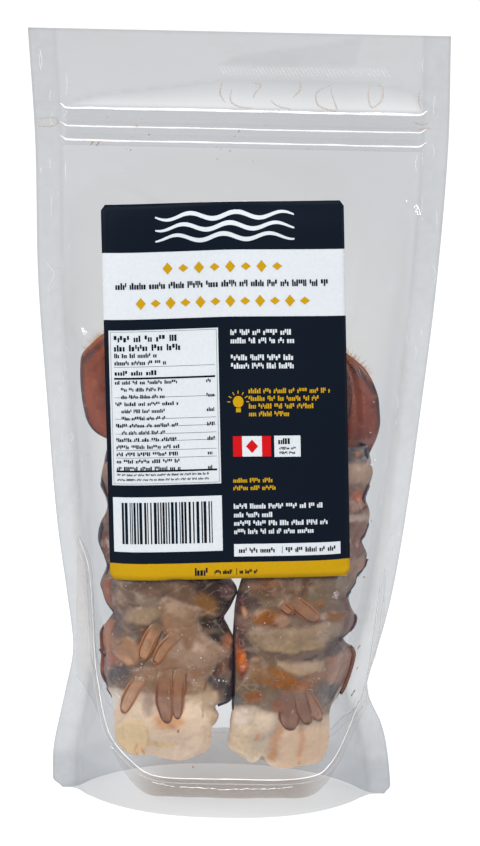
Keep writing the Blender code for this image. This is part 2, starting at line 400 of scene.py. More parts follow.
def film_y(side, x, z):
    """The film's y in mm at (x, z): front film for side -1, back film for side 1."""
    left, right = film_span(z)
    front, back = look_up(front_map, x, z), look_up(back_map, x, z)
    middle = (front + back) / 2
    flat = ramp(np.minimum(x - left, right - x), 0.5, SIDE_SEAL)
    smooth = np.where(side < 0, front, back)
    return middle + (smooth - middle) * flat + side * (SEAL_GAP + film_relief(side, x, z))


def grid_mesh(name, points, closed=False):
    """A mesh over a grid of points (rows, columns, 3) in mm. closed joins the last column to the first."""
    rows, columns = points.shape[:2]
    number = np.arange(rows * columns).reshape(rows, columns)
    if closed:
        number = np.concatenate([number, number[:, :1]], 1)
    quads = np.stack([number[:-1, :-1], number[:-1, 1:], number[1:, 1:], number[1:, :-1]], -1).reshape(-1, 4)
    mesh = bpy.data.meshes.new(name)
    mesh.from_pydata((points.reshape(-1, 3) * MM).tolist(), [], quads.tolist())
    mesh.shade_smooth()
    return mesh


def add_piece(name, mesh, *materials):
    """Puts a mesh in the scene as a named piece that rides on the pouch."""
    piece = bpy.data.objects.new(name, mesh)
    bpy.context.scene.collection.objects.link(piece)
    for material in materials:
        mesh.materials.append(material)
    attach(piece, "root")
    return piece


def paint(mesh, name, values):
    """Stores one number, or one colour, for each point of a mesh."""
    if np.ndim(values) == 1:
        layer = mesh.attributes.new(name, "FLOAT", "POINT")
        layer.data.foreach_set("value", np.asarray(values, np.float32))
    else:
        layer = mesh.attributes.new(name, "FLOAT_COLOR", "POINT")
        rgba = np.concatenate([values, np.ones((len(values), 1))], 1)
        layer.data.foreach_set("color", rgba.astype(np.float32).ravel())


def new_material(name, **settings):
    """A Principled material, its sockets set by name with _ for a space."""
    material = bpy.data.materials.new(name)
    material.use_nodes = True
    shader = material.node_tree.nodes["Principled BSDF"]
    for socket, value in settings.items():
        shader.inputs[socket.replace("_", " ")].default_value = value
    return material, shader


NOISE_MIDDLE = (0.3, 0.7)


def mottle_group():
    """Soft speckle in object space, spread between two values, for colour, gloss and relief."""
    group = bpy.data.node_groups.new("mottle", "ShaderNodeTree")
    for name, value in (("Scale", 100.0), ("Detail", 3.0), ("Low", 0.0), ("High", 1.0)):
        socket = group.interface.new_socket(name, in_out="INPUT", socket_type="NodeSocketFloat")
        socket.default_value = value
    group.interface.new_socket("Value", in_out="OUTPUT", socket_type="NodeSocketFloat")
    inlet, outlet = group.nodes.new("NodeGroupInput"), group.nodes.new("NodeGroupOutput")
    place, noise = group.nodes.new("ShaderNodeTexCoord"), group.nodes.new("ShaderNodeTexNoise")
    span = carry_over(group, *NOISE_MIDDLE)
    wire(group, (place, "Object", noise, "Vector"), (inlet, "Scale", noise, "Scale"),
         (inlet, "Detail", noise, "Detail"), (noise, 0, span, "Value"), (inlet, "Low", span, "To Min"),
         (inlet, "High", span, "To Max"), (span, "Result", outlet, "Value"))
    return group


MOTTLE = mottle_group()


def mottle(material, scale, low, high, detail=3.0):
    """Places the mottle group in a material."""
    node = material.node_tree.nodes.new("ShaderNodeGroup")
    node.node_tree = MOTTLE
    for socket, value in (("Scale", scale), ("Low", low), ("High", high), ("Detail", detail)):
        node.inputs[socket].default_value = value
    return node


def add_bump(material, shader, source, distance, strength=1.0):
    """Relief from a mottle, distance in mm, chained onto any relief the shader already has."""
    tree = material.node_tree
    bump = tree.nodes.new("ShaderNodeBump")
    bump.inputs["Distance"].default_value = distance * MM
    bump.inputs["Strength"].default_value = strength
    if shader.inputs["Normal"].is_linked:
        tree.links.new(shader.inputs["Normal"].links[0].from_socket, bump.inputs["Normal"])
    wire(tree, (source, 0, bump, "Height"), (bump, "Normal", shader, "Normal"))
    return bump


FILM_METAL = 0.85
FILM_TURN_BLEND = 0.35
FILM_WAVES = (55, 0.30, 0.6)
FILM_GRAIN = (330, 0.03, 0.5)


def film_material(name, base, clear, glaze, roughness):
    """Clear laminate: clear is the share it hides face on, glaze what it adds where it turns away."""
    material, shader = new_material(name, Base_Color=(*base, 1), Metallic=FILM_METAL, Roughness=roughness)
    tree = material.node_tree
    haze = tree.nodes.new("ShaderNodeAttribute")
    haze.attribute_name = "haze"
    facing = tree.nodes.new("ShaderNodeLayerWeight")
    facing.inputs["Blend"].default_value = FILM_TURN_BLEND
    rim = carry_over(tree, 0, 1, clear, clear + glaze)
    total = tree.nodes.new("ShaderNodeMath")
    total.operation = "ADD"
    total.use_clamp = True
    wire(tree, (facing, "Facing", rim, "Value"), (rim, "Result", total, 0), (haze, "Fac", total, 1),
         (total, 0, shader, "Alpha"))
    for (scale, deep, strength), detail in ((FILM_WAVES, 3.0), (FILM_GRAIN, 2.0)):
        add_bump(material, shader, mottle(material, scale, 0, 1, detail), deep, strength)
    return material


front_clear = film_material("clear film, front", (0.07, 0.09, 0.12), 0.25, 0.25, 0.12)
back_clear = film_material("clear film, back", (0.045, 0.10, 0.18), 0.25, 0.25, 0.15)
# The gusset's warm brown tint is a painted shadow and reflection of the meat above it.
gusset_shadow_film = film_material("clear film, gusset, painted shadow", (0.42, 0.28, 0.165), 0.13, 0.10, 0.2)
gusset_shadow_film.node_tree.nodes["Principled BSDF"].inputs["Metallic"].default_value = 0.1


def patch_share(kind, place, softness, px, py):
    """How fully a patch covers each place, 0 to 1, with its edge softened over softness pixels."""
    if kind == "blob":
        cx, cy, wide, tall, turn = place
        c, s = math.cos(math.radians(turn)), math.sin(math.radians(turn))
        a, b = (px - cx) * c + (py - cy) * s, (py - cy) * c - (px - cx) * s
        inside_by = (1 - np.hypot(a / wide, b / tall)) * min(wide, tall)
    elif kind == "line":
        inside_by = place[-1] - along_line(px, py, place[:-1])[0]
    else:
        corners = np.array(place, float)
        away = along_line(px, py, [*place, place[0]])[0]
        crossings = np.zeros(np.shape(px), int)
        for (ax, ay), (bx, by) in zip(corners, np.roll(corners, -1, 0)):
            if ay != by:
                crossings += ((ay > py) != (by > py)) & (px < ax + (bx - ax) * (py - ay) / (by - ay))
        inside_by = np.where(crossings % 2 == 1, away, -away)
    spread = softness if softness <= 1 else softness * 1.6
    return ramp(inside_by, -spread / 2, spread / 2)


# A painted reflection: where the board's grey shows in the seal above the zip, in a slanted patch,
# the film is made cloudier. Corners in the photograph's pixels.
FLAP_PAINTED_REFLECTION = ((219, 64), (236, 56.6), (275, 50), (319, 45), (355, 38), (363, 39), (359, 50.5), (355, 66),
              (288, 66))
# How much cloudier the film is there, as a share of what it hides.
SEAL_HAZE = 0.018
SEAM_HAZE = 0.03
GRAIN_HAZE = 0.012
CUT_HAZE = 0.06
SKIRT_HAZE = 0.055
# Painted shade: low on the pouch the film is made cloudier, so it reads darker.
LOW_PAINTED_SHADE = 0.016
FLAP_HAZE = -0.11
FLAP_SEAL_HAZE = 0.02
PAINTED_REFLECTION_HAZE = 0.05
DRIFT_HAZE = 0.02


def film_haze(side, x, z):
    """Where the film is cloudier: the sealed sides, the top, the zip's band and the welded skirt, with
    painted shade low on the pouch and a painted reflection in a patch of the flap's seal.
    """
    left, right = film_span(z)
    inset = np.minimum(x - left, right - x)
    seal = ramp(inset, SIDE_SEAL + 0.6, SIDE_SEAL - 0.6) * SEAL_HAZE
    seam = np.exp(-((inset - SIDE_SEAL) / 0.7) ** 2) * SEAM_HAZE
    grain = GRAIN_HAZE * smooth_noise(x, z, 1.6, 5) * ramp(inset, SIDE_SEAL + 3, SIDE_SEAL - 3)
    cut = (np.exp(-(inset / 0.6) ** 2) + np.exp(-((TOP - z) / 0.8) ** 2)) * CUT_HAZE
    # The welded skirt is cloudier, and the film's haze rising below 120 mm is painted shade.
    skirt = ramp(z, 17, 12) * SKIRT_HAZE + ramp(z, 120, 60) * LOW_PAINTED_SHADE
    share = flap_share(x, z)
    within = ramp(x, ZIP_ENDS[0], ZIP_ENDS[0] + 8) * ramp(x, ZIP_ENDS[1], ZIP_ENDS[1] - 4)
    opening = (z > ZIP_LINES[2] + 0.4) * ramp(share, 1, 0) * within * FLAP_HAZE
    closing = np.exp(-((share - 0.97) / 0.1) ** 2) * (share < 1) * FLAP_SEAL_HAZE
    total = seal + seam + grain + cut + skirt + opening + closing
    if side < 0:
        pixels = photo_place(np.stack([x, film_y(-1, x, z), z], -1))
        # A painted reflection: the flap's seal is cloudier where the board's grey is reflected in it.
        total = total + PAINTED_REFLECTION_HAZE * patch_share("area", FLAP_PAINTED_REFLECTION, 3, pixels[..., 0], pixels[..., 1])
        total = total + DRIFT_HAZE * smooth_noise(x + z, z, 30, 8)
    return total


def film_panel(name, side, material):
    """One sheet of the pouch, from its bottom hem to its top edge."""
    rows = int(TOP / FILM_STEP)
    columns = int(FULL_WIDTH / FILM_STEP)
    z = np.linspace(0.15, TOP - 0.3, rows)[:, None] * np.ones(columns)
    left, right = film_span(z)
    x = left + (right - left) * np.linspace(0, 1, columns)
    mesh = grid_mesh(name, np.stack([x, film_y(side, x, z), z], -1))
    paint(mesh, "haze", film_haze(side, x, z).ravel())
    return add_piece(name, mesh, material)


front_film = film_panel("pouch_front_film", -1, front_clear)
back_film = film_panel("pouch_back_film", 1, back_clear)
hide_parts("pouch")

# The gusset and the bottom seals
# A third sheet is folded up between the two at the bottom and welded to each along a rounded line, so
# the pouch opens to a flat oval base. The weld shows as a raised milky line, doubled on its outer side;
# the white of its beads is partly the milky weld and partly a painted highlight along it.
GUSSET_FLOOR = 0.5
GUSSET_LOWEST = 0.3
GUSSET_ENDS = (-58, 60)
GUSSET_MIDDLE = 1.5
GUSSET_FLAT_HALF = 29.0
GUSSET_SIDE_RISE = 45.0
GUSSET_WAVE = 0.5
# Painted shadow and reflection: the gusset is cloudier and browner in its middle, clear at its ends.
GUSSET_SHADOW_HAZE = 0.26
GUSSET_SHADOW_DROP = 0.34
GUSSET_CLEARS = (22, 42)
WELD_LINE = ((-57.0, 100), (-52.9, 88.4), (-51.4, 70), (-50.3, 52.7), (-48.3, 43.8), (-46.0, 34.8),
             (-43.0, 27.5), (-36.4, 20.8), (-27.2, 15.4), (-9.2, 15.1), (5.5, 15.2), (32.3, 14.8),
             (39.8, 18.2), (45.2, 26.2), (49.5, 33.4), (52.3, 40.1), (54.6, 51.9), (56.5, 70), (58.5, 90))
WELD_SPACING = 1.9
WELD_RADIUS = 0.22
WELD_LIFT = 0.1
SEAM_ENDS = (-27, 26)
SEAM_HEIGHT = 11.2
SEAM_BOW = 0.0012
SEAM_RADIUS = 0.10


def smooth_chain(points, step):
    """A Catmull-Rom curve through the points, one place about every step mm."""
    points = np.array(points, float)
    padded = np.concatenate([[2 * points[0] - points[1]], points, [2 * points[-1] - points[-2]]])
    out = []
    for a, b, c, d in zip(padded[:-3], padded[1:-2], padded[2:-1], padded[3:]):
        count = max(2, int(np.linalg.norm(c - b) / step))
        t = (np.arange(count) / count)[:, None]
        out.append(0.5 * (2 * b + (c - a) * t + (2 * a - 5 * b + 4 * c - d) * t ** 2
                          + (3 * b - a - 3 * c + d) * t ** 3))
    return np.concatenate([*out, points[-1:]])


def tube_mesh(name, path, radii, sides=8):
    """A tube along path (n, 3) in mm, with one radius for each point."""
    way = np.gradient(path, axis=0)
    way /= np.linalg.norm(way, axis=1, keepdims=True)
    up = np.where(np.abs(way[:, 1:2]) < 0.9, [[0.0, 1.0, 0.0]], [[1.0, 0.0, 0.0]])
    across = np.cross(way, up)
    across /= np.linalg.norm(across, axis=1, keepdims=True)
    third = np.cross(way, across)
    turn = np.linspace(0, 2 * np.pi, sides, endpoint=False)
    ring = (across[:, None] * np.cos(turn)[:, None] + third[:, None] * np.sin(turn)[:, None])
    return grid_mesh(name, path[:, None] + ring * np.asarray(radii)[:, None, None], closed=True)


weld = smooth_chain(WELD_LINE, 1.0)


def weld_height(x):
    """The height of the welded line over x, kept to the flat part and the two rising sides."""
    order = np.argsort(weld[:, 0])
    return np.interp(x, weld[order, 0], weld[order, 1])


def gusset_film():
    """The folded sheet, from the front weld down to the table and up to the back weld."""
    t, x = np.meshgrid(np.linspace(0, 1, 61), np.linspace(*GUSSET_ENDS, 119), indexing="ij")
    top = weld_height(x)
    rising = ramp(np.abs(x - GUSSET_MIDDLE), GUSSET_FLAT_HALF - 4, 62) ** 1.6
    fold = np.minimum(GUSSET_FLOOR + GUSSET_SIDE_RISE * rising, top - 0.5)
    z = fold + (top - fold) * np.abs(2 * t - 1) ** 3.0
    front = film_y(-1, x, top) + 0.5
    back = film_y(1, x, top) - 0.5
    y = front + (back - front) * t
    z = z + GUSSET_WAVE * smooth_noise(x, y, 7, 40) * np.sin(np.pi * t)
    return np.stack([x, y, np.maximum(z, GUSSET_LOWEST)], -1)


gusset = grid_mesh("pouch_gusset_film", gusset_film())
gusset_x = np.array([v.co.x / MM for v in gusset.vertices])
# The gusset's painted shadow: cloudy in the middle, clear towards the ends.
gusset_clears = ramp(np.abs(gusset_x - GUSSET_MIDDLE), *GUSSET_CLEARS)
paint(gusset, "haze", GUSSET_SHADOW_HAZE - GUSSET_SHADOW_DROP * gusset_clears)
add_piece("pouch_gusset_film", gusset, gusset_shadow_film)


def milky_plastic(name, alpha, colour=(0.94, 0.95, 0.96), roughness=0.2):
    """The same laminate where it is doubled and rolled: whiter and less clear. On the fine lines laid on
    the film its white is also a painted highlight, and tinted warm it is a painted shade in the puckers.
    """
    material, shader = new_material(name, Base_Color=(*colour, 1), Roughness=roughness, Alpha=alpha)
    add_bump(material, shader, mottle(material, 420, 0, 1), 0.05, 0.6)
    return material


# The white of these plastics on the welds, rails and fine lines is partly their own milkiness, partly a
# painted highlight.
milky_glint = milky_plastic("milky seal plastic", 0.6)
soft_milky_glint = milky_plastic("half clear seal plastic", 0.38)
# Painted shade: the puckers' lines are a darker, warm, rough plastic for the shade in their folds.
fold_shade = milky_plastic("folded plastic, painted shade", 0.34, (0.40, 0.31, 0.27), 0.65)
faint = milky_plastic("faint seal plastic", 0.22)


def weld_bead(name, side, inset, radius, lift, material):
    """A bead along the weld, inset mm outside the line, on the front or back film."""
    way = np.gradient(weld, axis=0)
    normal = np.stack([way[:, 1], -way[:, 0]], -1) / np.linalg.norm(way, axis=1, keepdims=True)
    path = weld + normal * inset
    y = film_y(side, path[:, 0], path[:, 1]) + side * lift
    taper = np.sin(np.pi * np.linspace(0.03, 0.97, len(path))) ** 0.35
    wobble = 1 + 0.25 * smooth_noise(path[:, 0] * 3, path[:, 1] * 3, 7, 60 + int(inset * 10))
    mesh = tube_mesh(name, np.stack([path[:, 0], y, path[:, 1]], -1), radius * taper * wobble)
    return add_piece(name, mesh, material)


for face, side, plastic in (("front", -1, milky_glint), ("back", 1, faint)):
    for strand, inset, radius in (("inner", 0.0, WELD_RADIUS), ("outer", WELD_SPACING, WELD_RADIUS * 0.5)):
        weld_bead(f"pouch_weld_{face}_{strand}", side, inset, radius, WELD_LIFT,
                          plastic if strand == "inner" else faint)


def crinkled_fold():
    """The gusset's second seam, under the first, crushed into a fine ridge: a milky tube laid on the
    front film, a painted highlight where the fold sparkles.
    """
    x = np.linspace(*SEAM_ENDS, 260)
    z = SEAM_HEIGHT + swells(x, x * 0, (0.35, 9, 70), (0.18, 1.1, 71)) + SEAM_BOW * (x - GUSSET_MIDDLE) ** 2
    y = film_y(-1, x, z) - WELD_LIFT
    radius = SEAM_RADIUS * (1 + smooth_noise(x, x * 0, 0.9, 73))
    return tube_mesh("pouch_gusset_fold", np.stack([x, y, z], -1), radius, 6)


add_piece("pouch_gusset_fold", crinkled_fold(), milky_glint)

# The zip
# Two moulded polyethylene strips, one welded inside each sheet, with a bead and a groove that press
# together. The side seals crush the strips flat at both ends.
ZIP_BAND = (250.4, 264.9)
ZIP_RIBS = (251.2, 252.6, 255.2, 257.8, 259.4, 261.3, 264.0)
RAIL_RADII = (0.28, 0.24, 0.42)
RAIL_PLASTICS = (soft_milky_glint, soft_milky_glint, milky_glint)
RIB = (0.30, 0.35)
ZIP_HAZE = -0.13
ZIP_END_HAZE = -0.14
ZIP_MIDDLE = 2


def zip_band():
    """The strip's flange between the sheets, ribbed along its length."""
    z, x = np.meshgrid(np.linspace(*ZIP_BAND, 60), np.linspace(ZIP_ENDS[0] - 6, ZIP_ENDS[1] + 4, 150),
                       indexing="ij")
    height, half_width = RIB
    ribs = sum(height * np.exp(-((z - rib) / half_width) ** 2) for rib in ZIP_RIBS)
    crush = ramp(x, ZIP_ENDS[0] - 2, ZIP_ENDS[0] + 3) * ramp(x, ZIP_ENDS[1] + 2, ZIP_ENDS[1] - 3)
    y = (film_y(-1, x, z) + film_y(1, x, z)) / 2 - ribs * crush
    return np.stack([x, y, z], -1)


band = grid_mesh("zip_band", zip_band())
band_x = np.array([v.co.x / MM for v in band.vertices])
paint(band, "haze", ZIP_HAZE + ZIP_END_HAZE * ramp(np.abs(band_x - ZIP_MIDDLE), 64, 69))
add_piece("zip_band", band, back_clear)


def zip_rail(name, height, radius, plastic):
    """One raised rail of the zip, its ends pinched flat and turned into the seal."""
    x = np.linspace(*ZIP_ENDS, 170)
    inset = np.minimum(x - ZIP_ENDS[0], ZIP_ENDS[1] - x)
    z = height + 1.6 * np.exp(-(inset / 1.4) ** 2) + 0.10 * smooth_noise(x, x * 0, 9, int(height))
    y = film_y(-1, x, z) - 0.12
    size = radius * ramp(inset, -0.5, 3) * (1 + 0.30 * smooth_noise(x, x * 0, 6, int(height) + 1)) + 0.05
    return add_piece(name, tube_mesh(name, np.stack([x, y, z], -1), size), plastic)


# Each rail is a milky tube laid on the front film: the rail's own plastic and a painted highlight along it.
for number, rail in enumerate(zip(ZIP_LINES, RAIL_RADII, RAIL_PLASTICS)):
    zip_rail(f"zip_rail_{number}", *rail)

# Glints and shade: crushed rail ends, puckers of the flap, the sealing bar's hatch and crinkles along
# the seals. Wherever the laminate is folded hard it turns milky along a hair-thin line, and the white of
# these lines is also a painted highlight; the puckers' lines are darker and warm, a painted shade in
# their folds. Each line is a chain of the photograph's pixels, laid just on the front film.
PUCKERS = (
    ((222, 82.4), (220, 93.5), (225.3, 103.2)),
    ((231.7, 89.4), (230.3, 100.4), (238.6, 106.5), (253.8, 108.2)),
    ((252.5, 82.4), (260.8, 85.2), (255.2, 92.7), (253, 99)),
    ((299.6, 82.4), (300.4, 89.3), (292.7, 97.7)),
    ((270.5, 100.4), (277.4, 106), (291.3, 109.3)),
    ((331.5, 84.4), (319, 90.7), (315.7, 96.3), (319, 106), (335.7, 111), (335, 103.2), (331.5, 92.7),
     (331.5, 86)),
    ((370.4, 85.2), (368, 94.9), (371.7, 107.4), (381.5, 100.4), (382.8, 88), (377.3, 85.2)),
    ((420.3, 89.3), (418.3, 100.4), (421, 110)),
    ((37.5, 118.5), (54, 117.6), (57.7, 122), (52.7, 126), (37.5, 126)),
    ((416, 131), (424, 128.4), (432, 129)),
    ((412, 122), (421, 124.5), (429, 123)),
)
HATCH_START = (219, 66)
HATCH_END = (384, 68)
HATCH_STROKES = 44
HATCH_STROKE = np.array((6.5, 9.5))
SEAL_CRINKLES = 70
PUCKER_RADIUS = 0.36
HAIRLINE_RADIUS = 0.10
STROKE_LIFT = 0.06


def under_film(px, py, deep):
    """The place deep mm behind the front film that shows at a pixel."""
    px, py = np.asarray(px, float), np.asarray(py, float)
    y = film_y(-1, *behind_pixel(px, py, -10.0)) + deep
    for _ in range(3):
        y = film_y(-1, *behind_pixel(px, py, y)) + deep
    x, z = behind_pixel(px, py, y)
    return np.stack([x, y, z], -1)


def strokes_mesh(name, chains, radius):
    """Fine tapering tubes along chains of pixels, all in one mesh."""
    verts, faces = [], []
    for chain in chains:
        px, py = smooth_chain(chain, 2.0).T
        taper = np.sin(np.pi * np.linspace(0.06, 0.94, len(px))) ** 0.7
        tube = tube_mesh("stroke", under_film(px, py, -STROKE_LIFT), radius * taper, 5)
        faces += [[len(verts) + k for k in face.vertices] for face in tube.polygons]
        verts += [tuple(v.co) for v in tube.vertices]
        bpy.data.meshes.remove(tube)
    mesh = bpy.data.meshes.new(name)
    mesh.from_pydata(verts, [], faces)
    mesh.shade_smooth()
    return mesh


def seal_crinkles():
    """Short slanted chains scattered down both side seals and over the skirt."""
    chance = np.random.default_rng(90)
    chains = []
    for k in range(SEAL_CRINKLES):
        z = chance.uniform(20, 285)
        edge = film_span(z)[k % 2]
        x = edge - math.copysign(chance.uniform(1, 13), edge)
        px, py = photo_place(np.array([x, float(film_y(-1, x, z)), z]))
        lean, long = chance.normal(0, 3), chance.uniform(6, 26)
        chains.append(((px, py - long / 2), (px + lean, py), (px + lean * 0.4, py + long / 2)))
    return chains


hatch = [(start, start + HATCH_STROKE) for start in np.linspace(HATCH_START, HATCH_END, HATCH_STROKES)]
# The puckers carry painted shade, the hatch and the crinkles a painted highlight.
for name, chains, radius, plastic in (("pouch_puckers", PUCKERS, PUCKER_RADIUS, fold_shade),
                                      ("pouch_seal_hatch", hatch, HAIRLINE_RADIUS, faint),
                                      ("pouch_crinkles", seal_crinkles(), HAIRLINE_RADIUS, faint)):
    add_piece(name, strokes_mesh(name, chains, radius), plastic)

# The paper label
# A gloss paper label, printed in navy, white and gold, glued on a little askew. It dips along its middle,
# where the film folds in between the tails. The print is plain fields and rows of small marks.
LABEL_WIDTH = 90.0
LABEL_HEIGHT = 140.0
LABEL_CENTRE = (-2.3, 161.6)
LABEL_TILT = math.radians(2.4)
LABEL_LEAN = math.radians(5.1)
PAPER = 0.25
CORNER = 1.5
DIP_SMOOTHING = 1.6
MARK_STEP = 2.5
NAVY_TOP = 17.7
HEADING_END = 42.6
GOLD_START = 133.9

label_tree = ray_tree("label")
label_front = blur(fill_outwards(depth_map(label_tree, -1)), DIP_SMOOTHING)


def on_label(u, v, lift=0.0):
    """The place u mm from the label's left edge and v mm down from its top, lift mm off the paper."""
    a, b = np.asarray(u, float) - LABEL_WIDTH / 2, LABEL_HEIGHT / 2 - np.asarray(v, float)
    x = LABEL_CENTRE[0] + a * math.cos(LABEL_TILT) - b * math.sin(LABEL_TILT)
    z = LABEL_CENTRE[1] + (a * math.sin(LABEL_TILT) + b * math.cos(LABEL_TILT)) * math.cos(LABEL_LEAN)
    return np.stack([x, look_up(label_front, x, z) - lift, z], -1)


def ink(name, colour, roughness=0.42):
    """Printed gloss paper, with the press's fine grain."""
    material, shader = new_material(name, Roughness=roughness, Specular_IOR_Level=0.06)
    tree = material.node_tree
    tint = tree.nodes.new("ShaderNodeMix")
    tint.data_type = "RGBA"
    tint.inputs["A"].default_value = (*[c * 0.97 for c in colour], 1)
    tint.inputs["B"].default_value = (*[c * 1.03 for c in colour], 1)
    wire(tree, (mottle(material, 900, 0, 1), 0, tint, "Factor"), (tint, "Result", shader, "Base Color"))
    add_bump(material, shader, mottle(material, 1500, 0, 1), 0.01, 0.4)
    return material


WHITE_PAPER = ink("label paper, white", (0.42, 0.445, 0.47))
NAVY_INK = ink("navy ink", (0.0016, 0.0042, 0.0095), 0.5)
GOLD_INK = ink("gold ink", (0.33, 0.19, 0.003))
RED_INK = ink("red ink", (0.36, 0.004, 0.006))
PAPER_BACK = ink("label paper, back", (0.90, 0.92, 0.94), 0.6)
label_inks = (WHITE_PAPER, NAVY_INK, GOLD_INK, RED_INK, PAPER_BACK)


def label_sheet():
    """The paper itself, in bands of colour, with rounded corners and a white back."""
    bands = [NAVY_TOP, HEADING_END, GOLD_START, LABEL_HEIGHT]
    v_lines = np.unique(np.concatenate([np.arange(0, LABEL_HEIGHT, 2.0), bands]))
    u_lines = np.linspace(0, LABEL_WIDTH, 61)
    u, v = np.meshgrid(u_lines, v_lines)
    near_end = np.minimum(v, LABEL_HEIGHT - v)
    cut = CORNER - np.sqrt(np.maximum(CORNER ** 2 - np.maximum(CORNER - near_end, 0) ** 2, 0))
    u = cut + u * (LABEL_WIDTH - 2 * cut) / LABEL_WIDTH
    mesh = grid_mesh("label_paper", on_label(u, v)[::-1])
    middles = np.repeat(((v_lines[:-1] + v_lines[1:]) / 2)[::-1], len(u_lines) - 1)
    slots = np.select([middles < NAVY_TOP, middles < HEADING_END, middles < GOLD_START], [1, 0, 1], 2)
    mesh.polygons.foreach_set("material_index", slots.astype(np.int32))
    return mesh


label = add_piece("label_paper", label_sheet(), *label_inks)
label_body = label.modifiers.new("paper", "SOLIDIFY")
label_body.thickness = PAPER * MM
label_body.offset = -1
label_body.material_offset = len(label_inks)
label_body.material_offset_rim = len(label_inks)
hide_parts("label")

label_marks = {"white": [], "navy": [], "gold": [], "red": []}


def block(colour, u0, v0, u1, v1):
    """A printed block between two corners, in mm on the label."""
    label_marks[colour].append(((u0, v0), (u1, v0), (u1, v1), (u0, v1)))


def words(colour, u0, u1, v0, v1, seed, letter=0.8):
    """A row of unreadable print: words of small uneven marks."""
    chance = np.random.default_rng(seed)
    u = u0
    tall = v1 - v0
    while u < u1 - letter:
        for _ in range(chance.integers(3, 9)):
            width = letter * chance.uniform(0.55, 0.95)
            if u + width > u1:
                break
            low, high = [(0, 1), (0.3, 1), (0.3, 1), (0, 0.62)][chance.integers(0, 4)]
            block(colour, u, v0 + tall * low, u + width * 0.72, v0 + tall * high)
            u += width
        u += letter * 0.9


LINE = 0.12
PANEL = (1.7, 46.6, 42.4, 104.5)
PANEL_LEFT = 3.6
PANEL_HEADS = ((48.6, 51.0, 26, 1.5), (52.0, 54.4, 26, 1.5), (55.2, 56.9, 16, 0.9), (57.9, 59.6, 20, 0.9),
               (61.6, 63.4, 17, 1.3))
PANEL_ROWS = np.linspace(65.3, 97.5, 13)
PANEL_RULES = (60.2, 64.2, 71.6, 79.6, 82.4, 85.2, 87.9, 91.3, 94.2)
STRIPES = (5.0, 39.5, 111, 126.5)
NOTE_ROWS = ((47.4, 71), (50.5, 71), (56.8, 71), (59.9, 71))
GOLD_ROW_ENDS = (84.1, 80.0, 78.6, 70.0)
SMALL_GOLD_ROWS = ((102.7, 62.0), (105.5, 64.5))
LOW_ROWS = ((112.2, 80.3), (115.4, 62.0), (118.5, 82.5), (121.6, 77.0))
GOLD_CHAINS = ((21.3, 67.8, 23.9), (11.2, 77.7, 36.8))
CHAIN_PITCH = 5.2
LAMP_MARK = (49.4, 74.3)


def print_panel():
    """The white panel on the left: its frame, headings, rows and rules, and the striped box below."""
    block("white", *PANEL)
    for v in (47.1, 103.9):
        block("navy", 2.3, v, 41.8, v + LINE)
    for u in (2.3, 41.7):
        block("navy", u, 47.1, u + LINE, 104.0)
    for v0, v1, long, letter in PANEL_HEADS:
        words("navy", PANEL_LEFT, PANEL_LEFT + long, v0, v1, int(v0 * 10), letter)
    for k, v in enumerate(PANEL_ROWS):
        inset, long, letter = (0, 24, 0.9) if k % 3 == 0 or k > 7 else (2.2, 19, 0.75)
        words("navy", PANEL_LEFT + inset, PANEL_LEFT + long, v, v + 1.45, 200 + k, letter)
        if k % 2 == 0:
            words("navy", 37.6, 40.9, v, v + 1.45, 300 + k, 0.8)
    for v in PANEL_RULES:
        block("navy", 3.4, v, 41.0, v + 0.13)
    block("navy", 3.4, 64.3, 41.0, 64.9)
    block("navy", 3.4, 98.9, 41.0, 99.6)
    for v in (100.2, 102.0):
        words("navy", PANEL_LEFT, 38, v, v + 0.85, int(v * 7), 0.5)
    block("white", 1.8, 109, 42.5, 129.5)
    chance = np.random.default_rng(12)
    u, end, top, bottom = STRIPES
    while u < end:
        wide = chance.choice([0.35, 0.5, 0.8, 1.05])
        block("navy", u, top, u + wide, bottom)
        u += wide + chance.choice([0.35, 0.5, 0.8])


def print_notes():
    """The right side: rows of notes, a red and white mark with a diamond, and the boxes."""
    for v, end in NOTE_ROWS:
        words("white", 47.0, end, v, v + 2.1, int(v * 3), 1.1)
    for k, end in enumerate(GOLD_ROW_ENDS):
        words("gold", 53.3, end, 69.3 + 2.85 * k, 71.2 + 2.85 * k, 500 + k, 0.95)
    block("red", 47.1, 87.1, 50.5, 94.7)
    block("white", 50.5, 87.1, 57.9, 94.7)
    block("red", 57.9, 87.1, 61.3, 94.7)
    label_marks["red"].append(((54.2, 88.4), (56.5, 90.9), (54.2, 93.4), (51.9, 90.9)))
    block("white", 62.5, 87.0, 72.3, 94.9)
    words("navy", 64.0, 71.0, 88.0, 90.2, 610, 1.3)
    words("navy", 64.4, 70.6, 91.2, 92.2, 611, 0.6)
    words("navy", 64.4, 70.6, 92.9, 93.9, 612, 0.6)
    for v, end in SMALL_GOLD_ROWS:
        words("gold", 46.9, end, v, v + 1.7, int(v * 5), 0.95)
    for v, end in LOW_ROWS:
        words("white", 46.9, end, v, v + 1.9, int(v * 9), 1.0)


